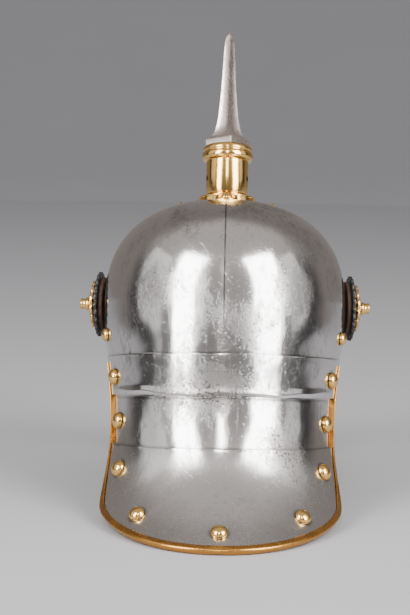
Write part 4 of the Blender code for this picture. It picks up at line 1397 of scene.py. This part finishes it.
class HELMET_OT_cockades(bpy.types.Operator):
    """Builds the cockade on each side: leather washer, toothed black disc, brass rosette and boss"""

    bl_idname = "helmet.cockades"
    bl_label = "Cockades"

    def execute(self, context):
        cockade = sizes("cockades")
        disc_seat = WASHER_LIFT + cockade.washer + SEAT_GAP
        rosette_seat = disc_seat + cockade.dish + cockade.sheet + SEAT_GAP - cockade.rosette_dish * 0.55
        boss_seat = rosette_seat + cockade.rosette_dish + cockade.rosette_sheet + SEAT_GAP
        turn = 90 + math.degrees(math.asin(COCKADE_FORWARD / float(reach(COCKADE_Z, 91))))
        for name, side in SIDES:
            place = place_on(on_wall(side * turn, COCKADE_Z), wall_normal(side * turn, COCKADE_Z))
            self.add_washer(name, place, WASHER_LIFT)
            self.add_disc(name, place, disc_seat)
            self.add_rosette(name, place, rosette_seat)
            self.add_boss(name, place, boss_seat)
        return {"FINISHED"}

    def add_washer(self, name, place, seat):
        cockade = sizes("cockades")
        r, t = cockade.washer_radius, cockade.washer
        profile = [(POST_BORE_R, seat + t), (r * 0.97, seat + t), (r * 0.995, seat + t * 0.88)]
        profile += [(r, seat + t * 0.6), (r * 0.996, seat + t * 0.3), (r * 0.975, seat), (POST_BORE_R, seat)]
        title = "cockade_washer_" + name
        mesh = turned_ring_mesh(title, profile, 96)
        add_piece(title, mesh, leather_material(), "brown_leather", place, sharp=60)

    def dished(self, name, angles, radius, dish, sheet, seat, edge, ridge):
        """A dished disc with a bore. edge gives the radius at each angle, ridge the height of its ribs."""
        shares = (0.13, 0.25, 0.38, 0.5, 0.6, 0.7, 0.78, 0.85, 0.91, 0.96, 0.99)
        upper, lower = [], []
        for share in shares:
            r = np.maximum(radius * share * (1 + (edge - 1) * share**3), POST_BORE_R)
            z = seat + dish * (1 - share**1.7)
            upper.append(polar(angles, r, z + sheet + ridge * max(0.0, (share - 0.3) / 0.7)))
            lower.append(polar(angles, r, z))
        upper.append(polar(angles, radius * edge, seat + sheet * 0.6))
        upper.append(polar(angles, radius * edge * 0.995, seat + sheet * 0.15))
        rings = np.stack(upper + lower[::-1])
        return face_outward(grid_mesh(name, rings, wrap_rows=True, wrap_columns=True))

    def add_disc(self, name, place, seat):
        """The black disc, its rim pressed into teeth like a cord of wire."""
        cockade = sizes("cockades")
        angles = np.arange(cockade.teeth * 12) * 360 / (cockade.teeth * 12)
        wave = np.cos(np.radians(angles * cockade.teeth))
        edge = 1 - cockade.tooth / cockade.radius * (0.5 - 0.5 * wave) ** 1.5
        ridge = 0.00035 * (wave - 1)
        title = "cockade_" + name
        mesh = self.dished(title, angles, cockade.radius, cockade.dish, cockade.sheet, seat, edge, ridge)
        add_piece(title, mesh, lacquer_material(), "black_paint", place, sharp=50)

    def add_rosette(self, name, place, seat):
        """The brass rosette with a scalloped rim and a crease between the lobes."""
        cockade = sizes("cockades")
        angles = np.arange(cockade.lobes * 16) * 360 / (cockade.lobes * 16)
        lobe = np.abs(np.cos(np.radians(angles * cockade.lobes / 2)))
        edge = 0.93 + 0.07 * lobe**0.6
        ridge = -0.00055 * (1 - lobe**0.7)
        title = "rosette_" + name
        radius, dish, sheet = cockade.rosette_radius, cockade.rosette_dish, cockade.rosette_sheet
        mesh = self.dished(title, angles, radius, dish, sheet, seat, edge, ridge)
        add_brass(title, mesh, place, sharp=50)

    def add_boss(self, name, place, seat):
        cockade = sizes("cockades")
        profile = [(cockade.boss_radius * w, seat + cockade.boss * h) for w, h in BOSS]
        profile += [(POST_R, seat), (POST_R, -SHANK_LENGTH), (0.0, -SHANK_LENGTH)]
        add_brass("boss_" + name, turned_mesh("boss_" + name, profile, 56), place, sharp=50)


class HELMET_OT_studio(bpy.types.Operator):
    """Adds the pale floor, the soft lights, the surroundings and the camera"""

    bl_idname = "helmet.studio"
    bl_label = "Studio"

    def execute(self, context):
        self.add_floor()
        self.add_surroundings(context.scene)
        studio = sizes("studio")
        for *place, share in LIGHTS:
            self.add_light(*place, studio.strip_power * share)
        self.add_light("top", 10, 84, 2.2, (2.6, 2.6), studio.fill_power).visible_glossy = False
        self.add_camera(context.scene)
        return {"FINISHED"}

    def add_floor(self):
        """A pale floor that sweeps up into a backdrop far behind, all round."""
        material = self.floor_material()
        flat = [(0.0, 0.0), (FLOOR_R, 0.0)]
        turns = [math.radians(9 * i) for i in range(11)]
        sweep = [(FLOOR_R + SWEEP_R * math.sin(t), SWEEP_R * (1 - math.cos(t))) for t in turns]
        for name, profile in (("floor", flat), ("backdrop", sweep)):
            mesh = self.round_sheet(name, profile)
            mesh.materials.append(material)
            sheet = bpy.data.objects.new(name, mesh)
            sheet.location.z = -0.0004
            sheet.visible_glossy = name == "floor"
            bpy.context.scene.collection.objects.link(sheet)

    def round_sheet(self, name, profile):
        turn = np.linspace(0, 2 * math.pi, 96, endpoint=False)
        rows = [np.stack([r * np.cos(turn), r * np.sin(turn), 0 * turn + z], axis=-1) for r, z in profile]
        mesh = grid_mesh(name, np.stack(rows), wrap_columns=True)
        mesh.polygons.foreach_set("use_smooth", [True] * len(mesh.polygons))
        return mesh

    def floor_material(self):
        material = bpy.data.materials.new("Pale floor")
        material.use_nodes = True
        tree = material.node_tree
        shader = tree.nodes["Principled BSDF"]
        place = tree.nodes.new("ShaderNodeTexCoord").outputs["Object"]
        paler = tuple(c * 1.06 for c in sizes("studio").floor)
        base = mix_colour(tree, noise(tree, place, 5, 4, 0.5), tuple(sizes("studio").floor), paler)
        tree.links.new(base, shader.inputs["Base Color"])
        shader.inputs["Roughness"].default_value = 0.7
        tree.links.new(bump(tree, noise(tree, place, 900, 2, 0.5), 0.0002, 0.2), shader.inputs["Normal"])
        return material

    def add_surroundings(self, scene):
        """A dim room that shiny surfaces mirror, and an even light from all round for the others."""
        world = bpy.data.worlds.new("Studio")
        scene.world = world
        world.use_nodes = True
        tree = world.node_tree
        tree.nodes.clear()
        ramp = tree.nodes.new("ShaderNodeValToRGB")
        ramp.color_ramp.interpolation = "EASE"
        elements = ramp.color_ramp.elements
        while len(elements) < len(ROOM_TONES):
            elements.new(0.5)
        for element, (position, shade) in zip(elements, ROOM_TONES):
            element.position = position
            element.color = (*shade, 1)
        place = tree.nodes.new("ShaderNodeTexCoord").outputs["Generated"]
        y, z = coordinates(tree, place)[1:]
        tree.links.new(between(tree, z, -1, 1), ramp.inputs[0])
        room = tree.nodes.new("ShaderNodeBackground")
        wall = between(tree, y, 0.14, 0.50)
        walled = mix_colour(tree, wall, ramp.outputs[0], ROOM_WALL)
        corner = times(tree, between(tree, y, -0.30, -0.05), between(tree, y, 0.20, 0.50, 1.0, 0.0))
        corner = times(tree, corner, between(tree, z, 0.25, 0.65, 1.0, 0.0))
        tree.links.new(mix_colour(tree, corner, walled, ROOM_CORNER), room.inputs[0])
        seen = tree.nodes.new("ShaderNodeBackground")
        seen.inputs[0].default_value = (*sizes("studio").ambient, 1)
        choose = tree.nodes.new("ShaderNodeMixShader")
        tree.links.new(tree.nodes.new("ShaderNodeLightPath").outputs["Is Glossy Ray"], choose.inputs[0])
        tree.links.new(seen.outputs[0], choose.inputs[1])
        tree.links.new(room.outputs[0], choose.inputs[2])
        tree.links.new(choose.outputs[0], tree.nodes.new("ShaderNodeOutputWorld").inputs[0])

    def direction(self, azimuth, elevation):
        """From the helmet outward. Azimuth 0 is behind the helmet, growing to its right."""
        turn, up = math.radians(azimuth), math.radians(elevation)
        return Vector((math.sin(turn) * math.cos(up), -math.cos(turn) * math.cos(up), math.sin(up)))

    def add_light(self, name, azimuth, elevation, distance, size, power):
        """A soft rectangle that faces the helmet."""
        light = bpy.data.lights.new(name, "AREA")
        light.shape = "RECTANGLE"
        light.size, light.size_y = size
        light.energy = power
        lamp = bpy.data.objects.new(name, light)
        way = self.direction(azimuth, elevation)
        lamp.location = Vector(LIGHT_TARGET) + way * distance
        lamp.rotation_euler = way.to_track_quat("Z", "Y").to_euler()
        lamp.visible_camera = False
        bpy.context.scene.collection.objects.link(lamp)
        return lamp

    def add_camera(self, scene):
        """The camera stands behind the helmet, a little above it and to its right, and is slightly rolled."""
        back = self.direction(CAMERA_TURN, CAMERA_RISE)
        right = (-back).cross(Vector((0, 0, 1))).normalized()
        data = bpy.data.cameras.new("Camera")
        data.sensor_width = 36
        data.lens = 36 * FOCAL_LENGTH_PX / PICTURE_HEIGHT_PX
        camera = bpy.data.objects.new("Camera", data)
        camera.location = Vector(CAMERA_TARGET) + back * sizes("studio").distance - right * CAMERA_SHIFT
        level = (-back).to_track_quat("-Z", "Y")
        camera.rotation_mode = "QUATERNION"
        roll = Matrix.Rotation(math.radians(CAMERA_ROLL), 3, "Z")
        camera.rotation_quaternion = level @ roll.to_quaternion()
        scene.collection.objects.link(camera)
        scene.camera = camera


PIECE_OPERATORS = (
    HELMET_OT_skull,
    HELMET_OT_neck_plates,
    HELMET_OT_visor,
    HELMET_OT_edging,
    HELMET_OT_rivets,
    HELMET_OT_spike_base,
    HELMET_OT_spike_neck,
    HELMET_OT_spike,
    HELMET_OT_cockades,
    HELMET_OT_studio,
)


class HELMET_PT_pieces(bpy.types.Panel):
    """Lists the helmet's pieces, sizes and colours"""

    bl_idname = "HELMET_PT_pieces"
    bl_label = "Spiked helmet"
    bl_space_type = "VIEW_3D"
    bl_region_type = "UI"
    bl_category = "Helmet"

    def draw(self, context):
        for operator in PIECE_OPERATORS:
            self.layout.operator(operator.bl_idname, text=operator.bl_label)
        for name, group in GROUPS.items():
            box = self.layout.box()
            box.label(text=group.__doc__)
            for key in group.__annotations__:
                box.prop(getattr(context.scene, name), key)


CLASSES = (*GROUPS.values(), *PIECE_OPERATORS, HELMET_PT_pieces)


def register():
    for item in CLASSES:
        bpy.utils.register_class(item)
    for name, group in GROUPS.items():
        setattr(bpy.types.Scene, name, PointerProperty(type=group))


def unregister():
    for name in GROUPS:
        delattr(bpy.types.Scene, name)
    for item in reversed(CLASSES):
        bpy.utils.unregister_class(item)


def main():
    register()
    for operator in PIECE_OPERATORS:
        group, _, name = operator.bl_idname.partition(".")
        getattr(getattr(bpy.ops, group), name)()


if __name__ == "__main__":
    main()
